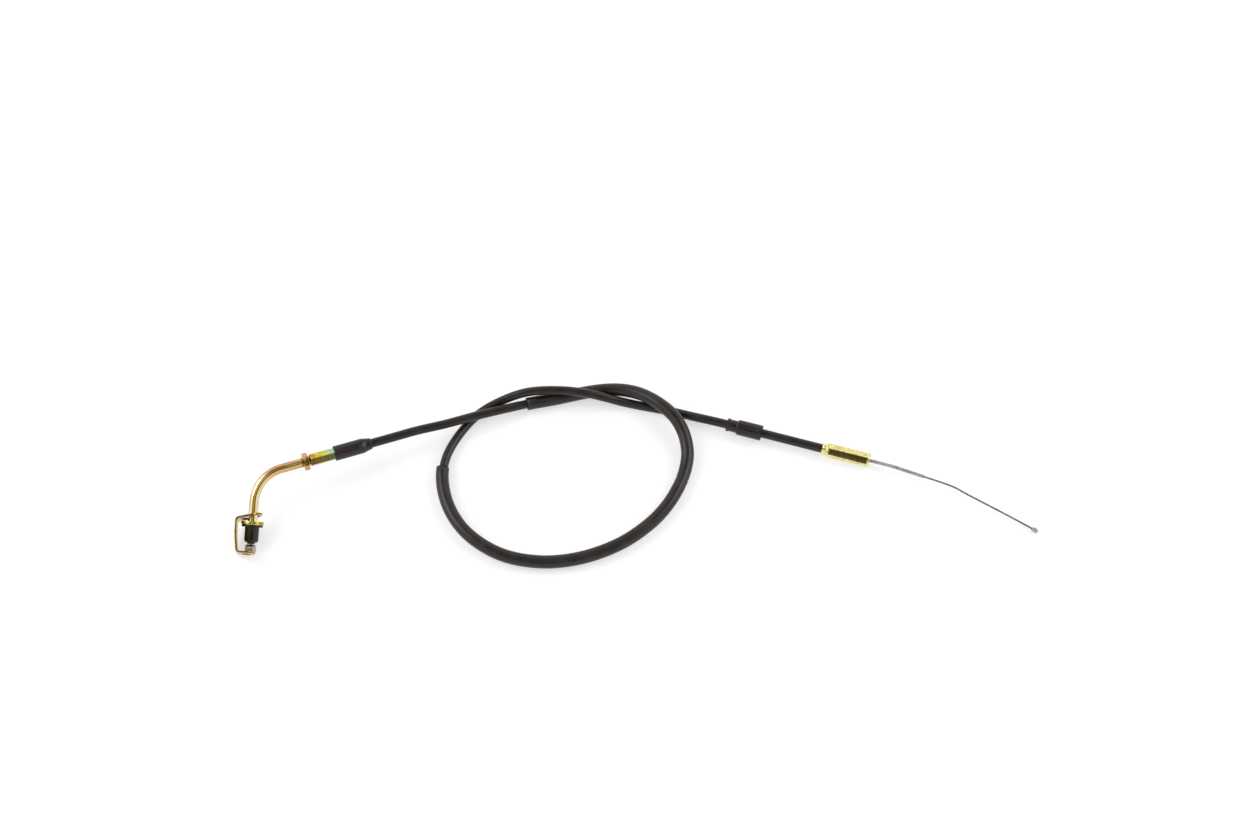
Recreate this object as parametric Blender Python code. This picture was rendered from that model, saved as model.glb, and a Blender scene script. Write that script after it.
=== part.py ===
"""Throttle cable with a bent twist-grip elbow, lying on a table with one loop.

Metres, +Z up. The table is the plane z = 0 and the cable runs along X: the
twist-grip end is on the left and the carburettor end on the right. The origin
is on the table below the middle of the cable's fittings.
"""
import math

import bmesh
import bpy
from mathutils import Matrix, Vector

MM = 0.001

# Clearances
SEAT_GAP = 0.3 * MM
RUN_GAP = 0.3 * MM

# Round pieces: facets around each kind of piece
SIDES_FITTING = 20
SIDES_FLANGE = 28
SIDES_SMALL = 16

# How far apart the cable's two ends lie on the table, from the elbow's corner
# to the small nipple. Every place below keeps its share of this span.
LAID_SPAN = 466.9 * MM

# Twist-grip elbow: two straight legs that meet at a corner
CORNER_PLACE = (-228.8, 0.4, 22.33)
LEG_AZIMUTH = -94.5
LEG_SLOPE = -25.0
ADJUSTER_AZIMUTH = 20.7
ADJUSTER_SLOPE = -5.5
ELBOW_RADIUS = 2.85 * MM
ELBOW_BORE = 1.6 * MM
ELBOW_BEND = 22.0 * MM
ELBOW_BEND_STEPS = 9
THREAD_RADIUS = 2.6 * MM

# Stations along the leg, measured from the corner towards the twist grip
FLANGE_TOP = 27.55 * MM
FLANGE_THICKNESS = 2.0 * MM
FLANGE_RADIUS = 6.75 * MM
NOSE_FLANGE_RADIUS = 6.3 * MM
NOSE_FLANGE_THICKNESS = 1.1 * MM
NOSE_RADIUS = 4.3 * MM
NOSE_LENGTH = 11.25 * MM
NOSE_NECK_RADIUS = 2.3 * MM
NOSE_NECK_LENGTH = 0.7 * MM
NOSE_SHOULDER = 1.9 * MM
ELBOW_PAST_SHOULDER = 0.6 * MM
GRIP_NIPPLE_RADIUS = 2.9 * MM
GRIP_NIPPLE_LENGTH = 5.6 * MM
GRIP_NIPPLE_YAW = 5.0
GRIP_NIPPLE_CHAMFER = 0.45 * MM
GRIP_WIRE_SHORT = 0.6 * MM

# Clamping bracket: a stamped strip with a ring ear and a lug ear
RING_STATION = 24.75 * MM
RING_DROP = 0.6 * MM
RING_SIDE = 1.5 * MM
RING_RADIUS = 7.25 * MM
RING_HOLE_RADIUS = 5.1 * MM
BRACKET_TILT = 8.8
BRACKET_LEAN = -7.4
BRACKET_ROLL = -7.3
BRACKET_THICKNESS = 1.2 * MM
BRACKET_REACH = 8.4 * MM
BRACKET_HEIGHT = 23.0 * MM
BRACKET_BEND = 2.2 * MM
BRACKET_BEND_STEPS = 4
RING_SPLAY = 9.2
LUG_SPLAY = 5.0
LUG_RADIUS = 5.0 * MM
LUG_HOLE_RADIUS = 2.65 * MM
LUG_REACH = 5.5 * MM
LUG_OFFSET = 6.2 * MM
STRIP_LOW_EDGE = -6.0 * MM
STRIP_COLUMNS = 4
STRIP_ROWS = 4
EAR_STEPS = 16

# Stations along the adjuster axis, measured from the corner
LOCKNUT_START = 29.1 * MM
LOCKNUT_THICKNESS = 3.3 * MM
LOCKNUT_FLATS = 9.2 * MM
LOCKNUT_ROLL = 28.0
ADJUSTER_START = 33.4 * MM
ADJUSTER_FLATS = 6.9 * MM
ADJUSTER_ROLL = 51.0
ADJUSTER_HEX_LENGTH = 17.2 * MM
ADJUSTER_SHANK_RADIUS = 3.5 * MM
ADJUSTER_SHANK_LENGTH = 6.5 * MM
ADJUSTER_THREAD_DEPTH = 14.0 * MM
ADJUSTER_WEB = 2.0 * MM
THREAD_SHORT_OF_WEB = 1.0 * MM
ADJUSTER_BOOT_START = 48.75 * MM
ADJUSTER_BOOT_LENGTH = 23.1 * MM
ADJUSTER_BOOT_RADIUS = 4.6 * MM
ADJUSTER_BOOT_TIP_RADIUS = 3.4 * MM
ADJUSTER_BOOT_TAPER = 5.8 * MM

# Casing: steel winding in a black jacket, with a liner and the inner wire
JACKET_RADIUS = 2.75 * MM
JACKET_BORE = 2.0 * MM
CASING_RADIUS = 1.7 * MM
CASING_BORE = 1.3 * MM
LINER_RADIUS = 1.05 * MM
LINER_BORE = 0.85 * MM
WIRE_RADIUS = 0.6 * MM
SLEEVE_RADIUS = 4.0 * MM
SLEEVE_BORE = 3.3 * MM
SLEEVE_START = 122.1 * MM
SLEEVE_END = 469.9 * MM
CORD_PITCH = 14.5 * MM

# Carburettor end: the hex ferrule's front face and its axis
FERRULE_TIP_PLACE = (142.13, 19.64, 4.31)
FERRULE_AZIMUTH = -15.7
FERRULE_SLOPE = -0.65
FERRULE_FLATS = 7.5 * MM
FERRULE_HEX_LENGTH = 26.8 * MM
FERRULE_ROLL = 20.4
COLLAR_RADIUS = 3.65 * MM
COLLAR_LENGTH = 3.2 * MM
FERRULE_SOCKET = 12.0 * MM
DUST_BOOT_END = 68.1 * MM
DUST_BOOT_LENGTH = 22.0 * MM
DUST_BOOT_CUP_LENGTH = 15.4 * MM
DUST_BOOT_CUP_RADIUS = 4.75 * MM
DUST_BOOT_NECK_RADIUS = 3.75 * MM
DUST_BOOT_LIP_RADIUS = 4.15 * MM
DUST_BOOT_LIP_LENGTH = 2.2 * MM
DUST_BOOT_WALL = 0.5 * MM

# Bare wire beyond the liner's mouth
LINER_MOUTH_PLACE = (174.76, 9.16, 3.20)
TAIL_AZIMUTH = -19.65
TAIL_SLOPE = -1.8
LINER_STRAIGHT = 19.5 * MM
TAIL_INSIDE = 3.0 * MM
TAIL_STRAIGHT = 15.5 * MM
TAIL_PITCH = 4.0 * MM
CARB_NIPPLE_RADIUS = 1.35 * MM
CARB_NIPPLE_LENGTH = 3.6 * MM
CARB_NIPPLE_FLOOR = 0.6 * MM
CARB_NIPPLE_EDGE = 0.25 * MM

# The casing's route over the table, in millimetres, from the adjuster boot
# to the dust boot. It crosses itself three times, over and under in turn.
ROUTE = [
    (-117.9, 41.7, 10.2), (-97.3, 48.8, 8.7), (-67.8, 58.6, 4.9), (-49.0, 63.0, 4.0),
    (-29.8, 67.5, 4.0), (-18.6, 68.7, 4.6), (-8.1, 67.6, 6.2), (2.5, 63.7, 8.3),
    (13.8, 55.9, 10.1), (22.7, 47.2, 9.9), (28.5, 36.7, 8.0), (30.8, 24.8, 5.6),
    (29.4, 14.0, 4.3), (25.1, 1.8, 4.0), (17.3, -11.7, 4.0), (7.1, -23.2, 4.0),
    (-10.6, -36.2, 4.0), (-34.3, -45.5, 4.0), (-58.3, -48.0, 4.0), (-82.3, -42.9, 4.0),
    (-102.6, -29.1, 4.0), (-113.6, -12.5, 4.0), (-118.2, 6.5, 4.0), (-117.0, 21.4, 3.7),
    (-110.2, 36.8, 3.1), (-98.4, 52.0, 3.1), (-84.8, 59.9, 5.6), (-68.0, 64.2, 9.8),
    (-47.6, 64.7, 11.2), (-31.5, 63.2, 10.4), (-20.4, 62.0, 7.4), (-9.3, 60.6, 3.8),
    (3.1, 58.2, 2.9), (19.2, 54.8, 2.9), (33.9, 50.5, 3.8),
]
ROUTE_LEADS = (70.0 * MM, 86.0 * MM, 101.0 * MM)
ROUTE_TRAILS = (96.0 * MM, 79.0 * MM, 59.0 * MM, 39.0 * MM)

# The bare wire's route from its straight stretch to the nipple, in millimetres
TAIL_ROUTE = [
    (199.1, -1.6, 2.4), (210.7, -8.5, 2.2), (225.2, -17.1, 1.9), (238.1, -25.0, 1.5),
]


def placed(place):
    """A place typed in millimetres, stretched along X to the laid span."""
    share = LAID_SPAN / ((TAIL_ROUTE[-1][0] - CORNER_PLACE[0]) * MM)
    return Vector((place[0] * share, place[1], place[2])) * MM


def direction(azimuth, slope):
    """Unit vector at an azimuth from +X and a slope above the table."""
    flat = math.cos(math.radians(slope))
    return Vector((
        flat * math.cos(math.radians(azimuth)),
        flat * math.sin(math.radians(azimuth)),
        math.sin(math.radians(slope)),
    ))


def axis_frame(origin, axis, up):
    """Frame whose Z is the axis and whose Y leans towards up."""
    z = axis.normalized()
    x = up.cross(z).normalized()
    y = z.cross(x)
    frame = Matrix((x, y, z)).transposed().to_4x4()
    frame.translation = origin
    return frame


LEG = direction(LEG_AZIMUTH, LEG_SLOPE)
ADJUSTER = direction(ADJUSTER_AZIMUTH, ADJUSTER_SLOPE)
FERRULE = direction(FERRULE_AZIMUTH, FERRULE_SLOPE)
TAIL = direction(TAIL_AZIMUTH, TAIL_SLOPE)
UP = Vector((0.0, 0.0, 1.0))
CORNER = placed(CORNER_PLACE)
FERRULE_TIP = placed(FERRULE_TIP_PLACE)
LINER_MOUTH = placed(LINER_MOUTH_PLACE)
LEG_FRAME = axis_frame(CORNER, LEG, UP)
ADJUSTER_FRAME = axis_frame(CORNER, ADJUSTER, UP)
FERRULE_FRAME = axis_frame(FERRULE_TIP, -FERRULE, UP)

NOSE_START = FLANGE_TOP + FLANGE_THICKNESS + SEAT_GAP
NOSE_END = NOSE_START + NOSE_LENGTH
ELBOW_LEG_END = NOSE_END - NOSE_NECK_LENGTH - NOSE_SHOULDER + ELBOW_PAST_SHOULDER
GRIP_NIPPLE_STATION = NOSE_END + SEAT_GAP + GRIP_NIPPLE_RADIUS
ADJUSTER_SOCKET_START = ADJUSTER_START + ADJUSTER_THREAD_DEPTH + ADJUSTER_WEB
ADJUSTER_END = ADJUSTER_START + ADJUSTER_HEX_LENGTH + ADJUSTER_SHANK_LENGTH
ELBOW_THREAD_END = ADJUSTER_START + ADJUSTER_THREAD_DEPTH - THREAD_SHORT_OF_WEB
CASING_START = ADJUSTER_SOCKET_START + SEAT_GAP
FERRULE_LENGTH = FERRULE_HEX_LENGTH + COLLAR_LENGTH
FERRULE_SOCKET_END = FERRULE_LENGTH - FERRULE_SOCKET
CASING_END = FERRULE_SOCKET_END + SEAT_GAP


def clear_scene():
    for item in list(bpy.data.objects):
        bpy.data.objects.remove(item, do_unlink=True)


def make_material(name, colour, roughness, metallic=0.0):
    material = bpy.data.materials.new(name)
    material.use_nodes = True
    shader = material.node_tree.nodes["Principled BSDF"]
    shader.inputs["Base Color"].default_value = (*colour, 1.0)
    shader.inputs["Roughness"].default_value = roughness
    shader.inputs["Metallic"].default_value = metallic
    return material


def make_object(name, data, material, frame):
    """Put mesh or curve data into the scene at a frame."""
    item = bpy.data.objects.new(name, data)
    if material is not None:
        data.materials.append(material)
    item.matrix_world = frame
    bpy.context.scene.collection.objects.link(item)
    return item


def mesh_object(name, bm, material, frame):
    bmesh.ops.remove_doubles(bm, verts=bm.verts, dist=1e-6)
    bmesh.ops.recalc_face_normals(bm, faces=bm.faces)
    mesh = bpy.data.meshes.new(name)
    bm.to_mesh(mesh)
    bm.free()
    mesh.shade_smooth()
    mesh.set_sharp_from_angle(angle=math.radians(35.0))
    return make_object(name, mesh, material, frame)


def lathe(name, profile, material, frame, sides=SIDES_FITTING):
    """Turn a closed outline of (radius, height) points about the frame's Z."""
    bm = bmesh.new()
    verts = [bm.verts.new((radius, 0.0, height)) for radius, height in profile]
    turned = [i for i in range(len(verts)) if profile[i - 1][0] + profile[i][0] > 0.0]
    edges = [bm.edges.new((verts[i - 1], verts[i])) for i in turned]
    bmesh.ops.spin(
        bm,
        geom=verts + edges,
        cent=(0.0, 0.0, 0.0),
        axis=(0.0, 0.0, 1.0),
        angle=2.0 * math.pi,
        steps=sides,
        use_merge=True,
    )
    return mesh_object(name, bm, material, frame)


def cutter_from(name, bm, frame):
    """A guide solid that only shapes another piece."""
    cutter = mesh_object(name, bm, None, frame)
    cutter.hide_render = True
    cutter.display_type = "WIRE"
    return cutter


def prism(sides, radius, low, high, turn=0.0):
    """Straight prism between two heights, its first corner turned from +X."""
    bm = bmesh.new()
    angles = [turn + 2.0 * math.pi * i / sides for i in range(sides)]
    rings = [
        [bm.verts.new((radius * math.cos(a), radius * math.sin(a), height)) for a in angles]
        for height in (low, high)
    ]
    bm.faces.new(rings[0])
    bm.faces.new(rings[1])
    for i in range(sides):
        bm.faces.new((rings[0][i - 1], rings[0][i], rings[1][i], rings[1][i - 1]))
    return bm


def apply_boolean(item, cutter, operation):
    modifier = item.modifiers.new(cutter.name, "BOOLEAN")
    modifier.operation = operation
    modifier.object = cutter
    modifier.solver = "EXACT"


def hex_bar(name, flats, profile, span, material, frame, turn):
    """A turned outline kept inside a hexagon over one span of its length."""
    item = lathe(name, profile, material, frame)
    corner = flats / math.sqrt(3.0)
    low, high = span
    bm = prism(6, corner, low, high, turn)
    cutter = cutter_from(name + "_hexagon", bm, frame)
    apply_boolean(item, cutter, "INTERSECT")
    return item


def smooth_curve(points, steps=16):
    """Centripetal spline through the points, sampled finely."""
    ends = [2.0 * points[0] - points[1], 2.0 * points[-1] - points[-2]]
    knots = [ends[0]] + list(points) + [ends[1]]
    samples = []
    for i in range(1, len(knots) - 2):
        p0, p1, p2, p3 = knots[i - 1:i + 3]
        t1 = (p1 - p0).length ** 0.5
        t2 = t1 + (p2 - p1).length ** 0.5
        t3 = t2 + (p3 - p2).length ** 0.5
        for k in range(steps):
            t = t1 + (t2 - t1) * k / steps
            a1 = p0.lerp(p1, t / t1)
            a2 = p1.lerp(p2, (t - t1) / (t2 - t1))
            a3 = p2.lerp(p3, (t - t2) / (t3 - t2))
            b1 = a1.lerp(a2, t / t2)
            b2 = a2.lerp(a3, (t - t1) / (t3 - t1))
            samples.append(b1.lerp(b2, (t - t1) / (t2 - t1)))
    samples.append(points[-1].copy())
    return samples


def stretch(curve, start, end, pitch):
    """Evenly spaced points between two lengths along a finely sampled curve."""
    count = max(2, round((end - start) / pitch))
    wanted = [start + (end - start) * i / count for i in range(count + 1)]
    found = []
    travelled = 0.0
    for before, after in zip(curve, curve[1:]):
        length = (after - before).length
        while wanted and travelled + length >= wanted[0] - 1e-9:
            found.append(before.lerp(after, (wanted[0] - travelled) / length))
            wanted.pop(0)
        travelled += length
    found.extend(curve[-1].copy() for _ in wanted)
    return found


def curve_length(curve):
    return sum((after - before).length for before, after in zip(curve, curve[1:]))


def cord(name, points, radius, material, bore=None, origin=None, resolution=2, scales=None):
    """Round cord or tube along a polyline; a bore leaves a hollow tube."""
    start = origin if origin is not None else Vector((0.0, 0.0, 0.0))
    data = bpy.data.curves.new(name, "CURVE")
    data.dimensions = "3D"
    data.bevel_depth = radius
    data.bevel_resolution = resolution
    data.use_fill_caps = bore is None
    spline = data.splines.new("POLY")
    spline.points.add(len(points) - 1)
    for i, (target, point) in enumerate(zip(spline.points, points)):
        target.co = (*(point - start), 1.0)
        target.radius = scales[i] if scales else 1.0
    item = make_object(name, data, material, Matrix.Translation(start))
    if bore is not None:
        wall = item.modifiers.new("wall", "SOLIDIFY")
        wall.thickness = radius - bore
        wall.offset = -1.0
        wall.use_even_offset = True
    return item


def elbow_arc():
    """Centreline points of the bend, from the leg to the adjuster side."""
    turn = math.pi - LEG.angle(ADJUSTER)
    tangent = ELBOW_BEND * math.tan(turn / 2.0)
    inward = (ADJUSTER - LEG * ADJUSTER.dot(LEG)).normalized()
    centre = CORNER + LEG * tangent + inward * ELBOW_BEND
    first = CORNER + LEG * tangent - centre
    last = CORNER + ADJUSTER * tangent - centre
    spin_axis = first.cross(last).normalized()
    steps = [turn * i / ELBOW_BEND_STEPS for i in range(ELBOW_BEND_STEPS + 1)]
    return [centre + Matrix.Rotation(step, 3, spin_axis) @ first for step in steps]


def build_elbow(material):
    arc = elbow_arc()
    points = [CORNER + LEG * ELBOW_LEG_END] + arc
    points += [
        CORNER + ADJUSTER * (LOCKNUT_START - 0.8 * MM),
        CORNER + ADJUSTER * (LOCKNUT_START - 0.4 * MM),
        CORNER + ADJUSTER * ELBOW_THREAD_END,
    ]
    scales = [1.0] * (len(points) - 2) + [THREAD_RADIUS / ELBOW_RADIUS] * 2
    return cord("elbow_tube", points, ELBOW_RADIUS, material, ELBOW_BORE, CORNER, 4, scales)


def build_seat_flange(material):
    bore = ELBOW_RADIUS + SEAT_GAP
    edge = 0.3 * MM
    top = FLANGE_TOP
    base = FLANGE_TOP + FLANGE_THICKNESS
    profile = [
        (bore, top), (FLANGE_RADIUS - edge, top), (FLANGE_RADIUS, top + edge),
        (FLANGE_RADIUS, base - edge), (FLANGE_RADIUS - edge, base), (bore, base),
    ]
    return lathe("seat_flange", profile, material, LEG_FRAME, sides=SIDES_FLANGE)


def build_nose_sleeve(material):
    bore = ELBOW_RADIUS + SEAT_GAP
    neck_bore = WIRE_RADIUS + RUN_GAP
    neck_start = NOSE_END - NOSE_NECK_LENGTH
    shoulder = neck_start - NOSE_SHOULDER
    base = NOSE_START + NOSE_FLANGE_THICKNESS
    profile = [
        (bore, NOSE_START), (NOSE_FLANGE_RADIUS, NOSE_START), (NOSE_FLANGE_RADIUS, base),
        (NOSE_RADIUS, base), (NOSE_RADIUS, shoulder),
    ]
    for i in range(1, 4):
        angle = math.radians(30.0 * i)
        profile.append((
            NOSE_NECK_RADIUS + (NOSE_RADIUS - NOSE_NECK_RADIUS) * math.cos(angle),
            shoulder + NOSE_SHOULDER * math.sin(angle),
        ))
    profile += [
        (NOSE_NECK_RADIUS, NOSE_END), (neck_bore, NOSE_END),
        (neck_bore, ELBOW_LEG_END + SEAT_GAP), (bore, ELBOW_LEG_END + SEAT_GAP),
    ]
    return lathe("nose_sleeve", profile, material, LEG_FRAME)


def build_grip_nipple(material):
    """Barrel across the wire, bored for it."""
    centre = CORNER + LEG * GRIP_NIPPLE_STATION
    across = Matrix.Rotation(math.radians(GRIP_NIPPLE_YAW), 3, LEG) @ LEG_FRAME.col[0].to_3d()
    frame = axis_frame(centre, across, LEG)
    half = GRIP_NIPPLE_LENGTH / 2.0
    edge = GRIP_NIPPLE_CHAMFER
    radius = GRIP_NIPPLE_RADIUS
    bm = bmesh.new()
    heights = [(radius - edge, -half), (radius, -half + edge), (radius, half - edge)]
    heights.append((radius - edge, half))
    rings = []
    for ring_radius, height in heights:
        ring = bmesh.ops.create_circle(
            bm, segments=SIDES_FITTING, radius=ring_radius,
            matrix=Matrix.Translation((0.0, 0.0, height)),
        )["verts"]
        rings.append(ring)
    for low, high in zip(rings, rings[1:]):
        edges = [e for e in bm.edges if all(v in low or v in high for v in e.verts)]
        bmesh.ops.bridge_loops(bm, edges=edges)
    for ring in (rings[0], rings[-1]):
        bm.faces.new(ring)
    item = mesh_object("grip_nipple", bm, material, frame)
    bore = prism(SIDES_SMALL, WIRE_RADIUS + RUN_GAP, -2.0 * radius, 2.0 * radius)
    cutter = cutter_from("grip_nipple_bore", bore, axis_frame(centre, LEG, UP))
    apply_boolean(item, cutter, "DIFFERENCE")
    return item


def bracket_frame():
    """The bracket's frame at the middle of its ring hole, Z towards the lug."""
    across, over, along = (LEG_FRAME.col[i].to_3d() for i in range(3))
    hub = CORNER + along * RING_STATION - over * RING_DROP - across * RING_SIDE
    tilt = Matrix.Rotation(-math.radians(BRACKET_TILT), 3, across)
    over = tilt @ over
    along = tilt @ along
    lean = Matrix.Rotation(-math.radians(BRACKET_LEAN), 3, over)
    across = lean @ across
    along = lean @ along
    roll = Matrix.Rotation(math.radians(BRACKET_ROLL), 3, along)
    frame = Matrix((roll @ across, roll @ over, along)).transposed().to_4x4()
    frame.translation = hub
    return frame


def build_bracket(material):
    """Bent sheet: a ring ear round the tube, a strip and a lug ear."""
    ring_splay = math.radians(RING_SPLAY)
    lug_splay = math.radians(LUG_SPLAY)
    bend = BRACKET_BEND
    wall = -BRACKET_REACH
    turn_x = wall + bend
    lug_x = wall + LUG_REACH
    ring_turn = (bend - turn_x * math.sin(ring_splay)) / math.cos(ring_splay)
    lug_rise = (turn_x - lug_x) * math.sin(lug_splay) - bend
    lug_turn = BRACKET_HEIGHT + lug_rise / math.cos(lug_splay)
    lug_low = LUG_OFFSET - LUG_RADIUS
    lug_high = LUG_OFFSET + LUG_RADIUS
    bm = bmesh.new()

    def row(x, height, low, high):
        steps = [low + (high - low) * i / STRIP_COLUMNS for i in range(STRIP_COLUMNS + 1)]
        return [bm.verts.new((x, y, height)) for y in steps]

    def ear(centre, slope, radius, hole, root):
        """Quads between an ear's outline and its round hole, in the ear's own slanted plane."""
        def place(u, v):
            return bm.verts.new((
                centre[0] + u * math.cos(slope), centre[1] + v, centre[2] + u * math.sin(slope),
            ))

        outline = [((v.co.x - centre[0]) / math.cos(slope), v.co.y - centre[1]) for v in root]
        loop = list(root)
        for i in range(EAR_STEPS + 1):
            angle = math.pi / 2.0 - math.pi * i / EAR_STEPS
            outline.append((radius * math.cos(angle), radius * math.sin(angle)))
            loop.append(place(*outline[-1]))
        inner = []
        for u, v in outline:
            angle = math.atan2(v, u)
            inner.append(place(hole * math.cos(angle), hole * math.sin(angle)))
        for i in range(len(loop)):
            bm.faces.new((loop[i - 1], loop[i], inner[i], inner[i - 1]))

    rows = []
    for i in range(BRACKET_BEND_STEPS):
        angle = ring_splay + (math.pi / 2.0 - ring_splay) * i / (BRACKET_BEND_STEPS - 1)
        x = turn_x - bend * math.sin(angle)
        rows.append(row(x, ring_turn - bend * math.cos(angle), -RING_RADIUS, RING_RADIUS))
    for i in range(1, STRIP_ROWS):
        share = i / STRIP_ROWS
        rows.append(row(
            wall,
            ring_turn + (lug_turn - ring_turn) * share,
            -RING_RADIUS + (STRIP_LOW_EDGE + RING_RADIUS) * share,
            RING_RADIUS + (lug_high - RING_RADIUS) * share,
        ))
    for i in range(BRACKET_BEND_STEPS):
        share = i / (BRACKET_BEND_STEPS - 1)
        angle = math.pi / 2.0 + (lug_splay - math.pi / 2.0) * share
        low = STRIP_LOW_EDGE + (lug_low - STRIP_LOW_EDGE) * share
        x = turn_x - bend * math.sin(angle)
        rows.append(row(x, lug_turn + bend * math.cos(angle), low, lug_high))
    for upper, lower in zip(rows, rows[1:]):
        for j in range(STRIP_COLUMNS):
            bm.faces.new((upper[j], upper[j + 1], lower[j + 1], lower[j]))
    ear((0.0, 0.0, 0.0), -ring_splay, RING_RADIUS, RING_HOLE_RADIUS, rows[0])
    ear((lug_x, LUG_OFFSET, BRACKET_HEIGHT), lug_splay, LUG_RADIUS, LUG_HOLE_RADIUS, rows[-1])
    item = mesh_object("tube_bracket", bm, material, bracket_frame())
    sheet = item.modifiers.new("sheet", "SOLIDIFY")
    sheet.thickness = BRACKET_THICKNESS
    sheet.offset = 0.0
    sheet.use_even_offset = True
    return item


def build_locknut(material):
    bore = THREAD_RADIUS + RUN_GAP
    corner = LOCKNUT_FLATS / math.sqrt(3.0)
    low = LOCKNUT_START
    high = LOCKNUT_START + LOCKNUT_THICKNESS
    edge = 0.5 * MM
    wide = corner + 0.2 * MM
    profile = [
        (bore, low), (corner - edge * 1.4, low), (wide, low + edge), (wide, high - edge),
        (corner - edge * 1.4, high), (bore, high),
    ]
    span = (low - edge, high + edge)
    turn = math.radians(LOCKNUT_ROLL)
    return hex_bar("locknut", LOCKNUT_FLATS, profile, span, material, ADJUSTER_FRAME, turn)


def build_adjuster(material):
    """Long hex sleeve: threaded on the tube, with a socket for the casing."""
    bore = THREAD_RADIUS + RUN_GAP
    socket = JACKET_RADIUS + SEAT_GAP
    web_bore = LINER_RADIUS + 0.35 * MM
    corner = ADJUSTER_FLATS / math.sqrt(3.0)
    low = ADJUSTER_START
    hex_end = low + ADJUSTER_HEX_LENGTH
    edge = 0.6 * MM
    wide = corner + 0.2 * MM
    web = low + ADJUSTER_THREAD_DEPTH
    profile = [
        (bore, low), (corner - edge, low), (wide, low + edge), (wide, hex_end - edge),
        (ADJUSTER_SHANK_RADIUS, hex_end), (ADJUSTER_SHANK_RADIUS, ADJUSTER_END),
        (socket, ADJUSTER_END), (socket, ADJUSTER_SOCKET_START),
        (web_bore, ADJUSTER_SOCKET_START), (web_bore, web), (bore, web),
    ]
    span = (low - edge, ADJUSTER_END + edge)
    turn = math.radians(ADJUSTER_ROLL)
    return hex_bar("cable_adjuster", ADJUSTER_FLATS, profile, span, material, ADJUSTER_FRAME, turn)


def build_adjuster_boot(material):
    start = ADJUSTER_BOOT_START
    end = start + ADJUSTER_BOOT_LENGTH
    taper = end - ADJUSTER_BOOT_TAPER
    radius = ADJUSTER_BOOT_RADIUS
    mouth = ADJUSTER_FLATS / math.sqrt(3.0) + 0.2 * MM
    body = ADJUSTER_SHANK_RADIUS + RUN_GAP
    throat = JACKET_RADIUS + RUN_GAP
    hex_end = ADJUSTER_START + ADJUSTER_HEX_LENGTH
    profile = [
        (mouth, start), (radius - 0.2 * MM, start), (radius, start + 0.4 * MM),
        (radius, taper), (radius - 0.35 * MM, taper + 1.6 * MM),
        (ADJUSTER_BOOT_TIP_RADIUS + 0.1 * MM, taper + 5.4 * MM),
        (ADJUSTER_BOOT_TIP_RADIUS, end), (throat, end), (throat, ADJUSTER_END + 2.0 * MM),
        (body, ADJUSTER_END + 1.0 * MM), (body, hex_end + 1.0 * MM), (mouth, hex_end + 0.3 * MM),
    ]
    return lathe("adjuster_boot", profile, material, ADJUSTER_FRAME)


def build_dust_boot(material):
    """Rubber cap that slides along the casing to cover the ferrule's collar."""
    end = DUST_BOOT_END
    back = end + DUST_BOOT_LENGTH
    cup = end + DUST_BOOT_CUP_LENGTH
    throat = JACKET_RADIUS + RUN_GAP
    cup_bore = DUST_BOOT_CUP_RADIUS - DUST_BOOT_WALL
    profile = [
        (cup_bore, end), (DUST_BOOT_CUP_RADIUS, end),
        (DUST_BOOT_CUP_RADIUS, cup - 1.0 * MM), (DUST_BOOT_CUP_RADIUS - 0.4 * MM, cup),
        (DUST_BOOT_NECK_RADIUS, cup + 0.8 * MM),
        (DUST_BOOT_NECK_RADIUS, back - DUST_BOOT_LIP_LENGTH),
        (DUST_BOOT_LIP_RADIUS, back - 0.4 * MM), (DUST_BOOT_LIP_RADIUS - 0.3 * MM, back),
        (throat, back), (throat, cup - 1.2 * MM), (cup_bore, cup - 1.6 * MM),
    ]
    return lathe("dust_boot", profile, material, FERRULE_FRAME)


def build_hex_ferrule(material):
    """Hex ferrule with a crimped collar, a casing socket and a liner bore."""
    corner = FERRULE_FLATS / math.sqrt(3.0)
    socket = JACKET_RADIUS + SEAT_GAP
    liner = LINER_RADIUS + SEAT_GAP
    edge = 0.8 * MM
    wide = corner + 0.2 * MM
    hex_end = FERRULE_HEX_LENGTH
    length = FERRULE_LENGTH
    waist = COLLAR_RADIUS - 0.35 * MM
    profile = [
        (liner, 0.0), (corner - edge, 0.0), (corner - 0.2 * MM, 0.45 * MM), (wide, edge + 0.4 * MM),
        (wide, hex_end - edge), (COLLAR_RADIUS, hex_end),
        (waist, hex_end + 0.9 * MM), (waist, length - 1.4 * MM),
        (COLLAR_RADIUS, length - 0.7 * MM), (COLLAR_RADIUS, length), (socket, length),
        (socket, FERRULE_SOCKET_END), (liner, FERRULE_SOCKET_END),
    ]
    span = (-edge, length + edge)
    turn = math.radians(FERRULE_ROLL)
    return hex_bar("hex_ferrule", FERRULE_FLATS, profile, span, material, FERRULE_FRAME, turn)


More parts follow.
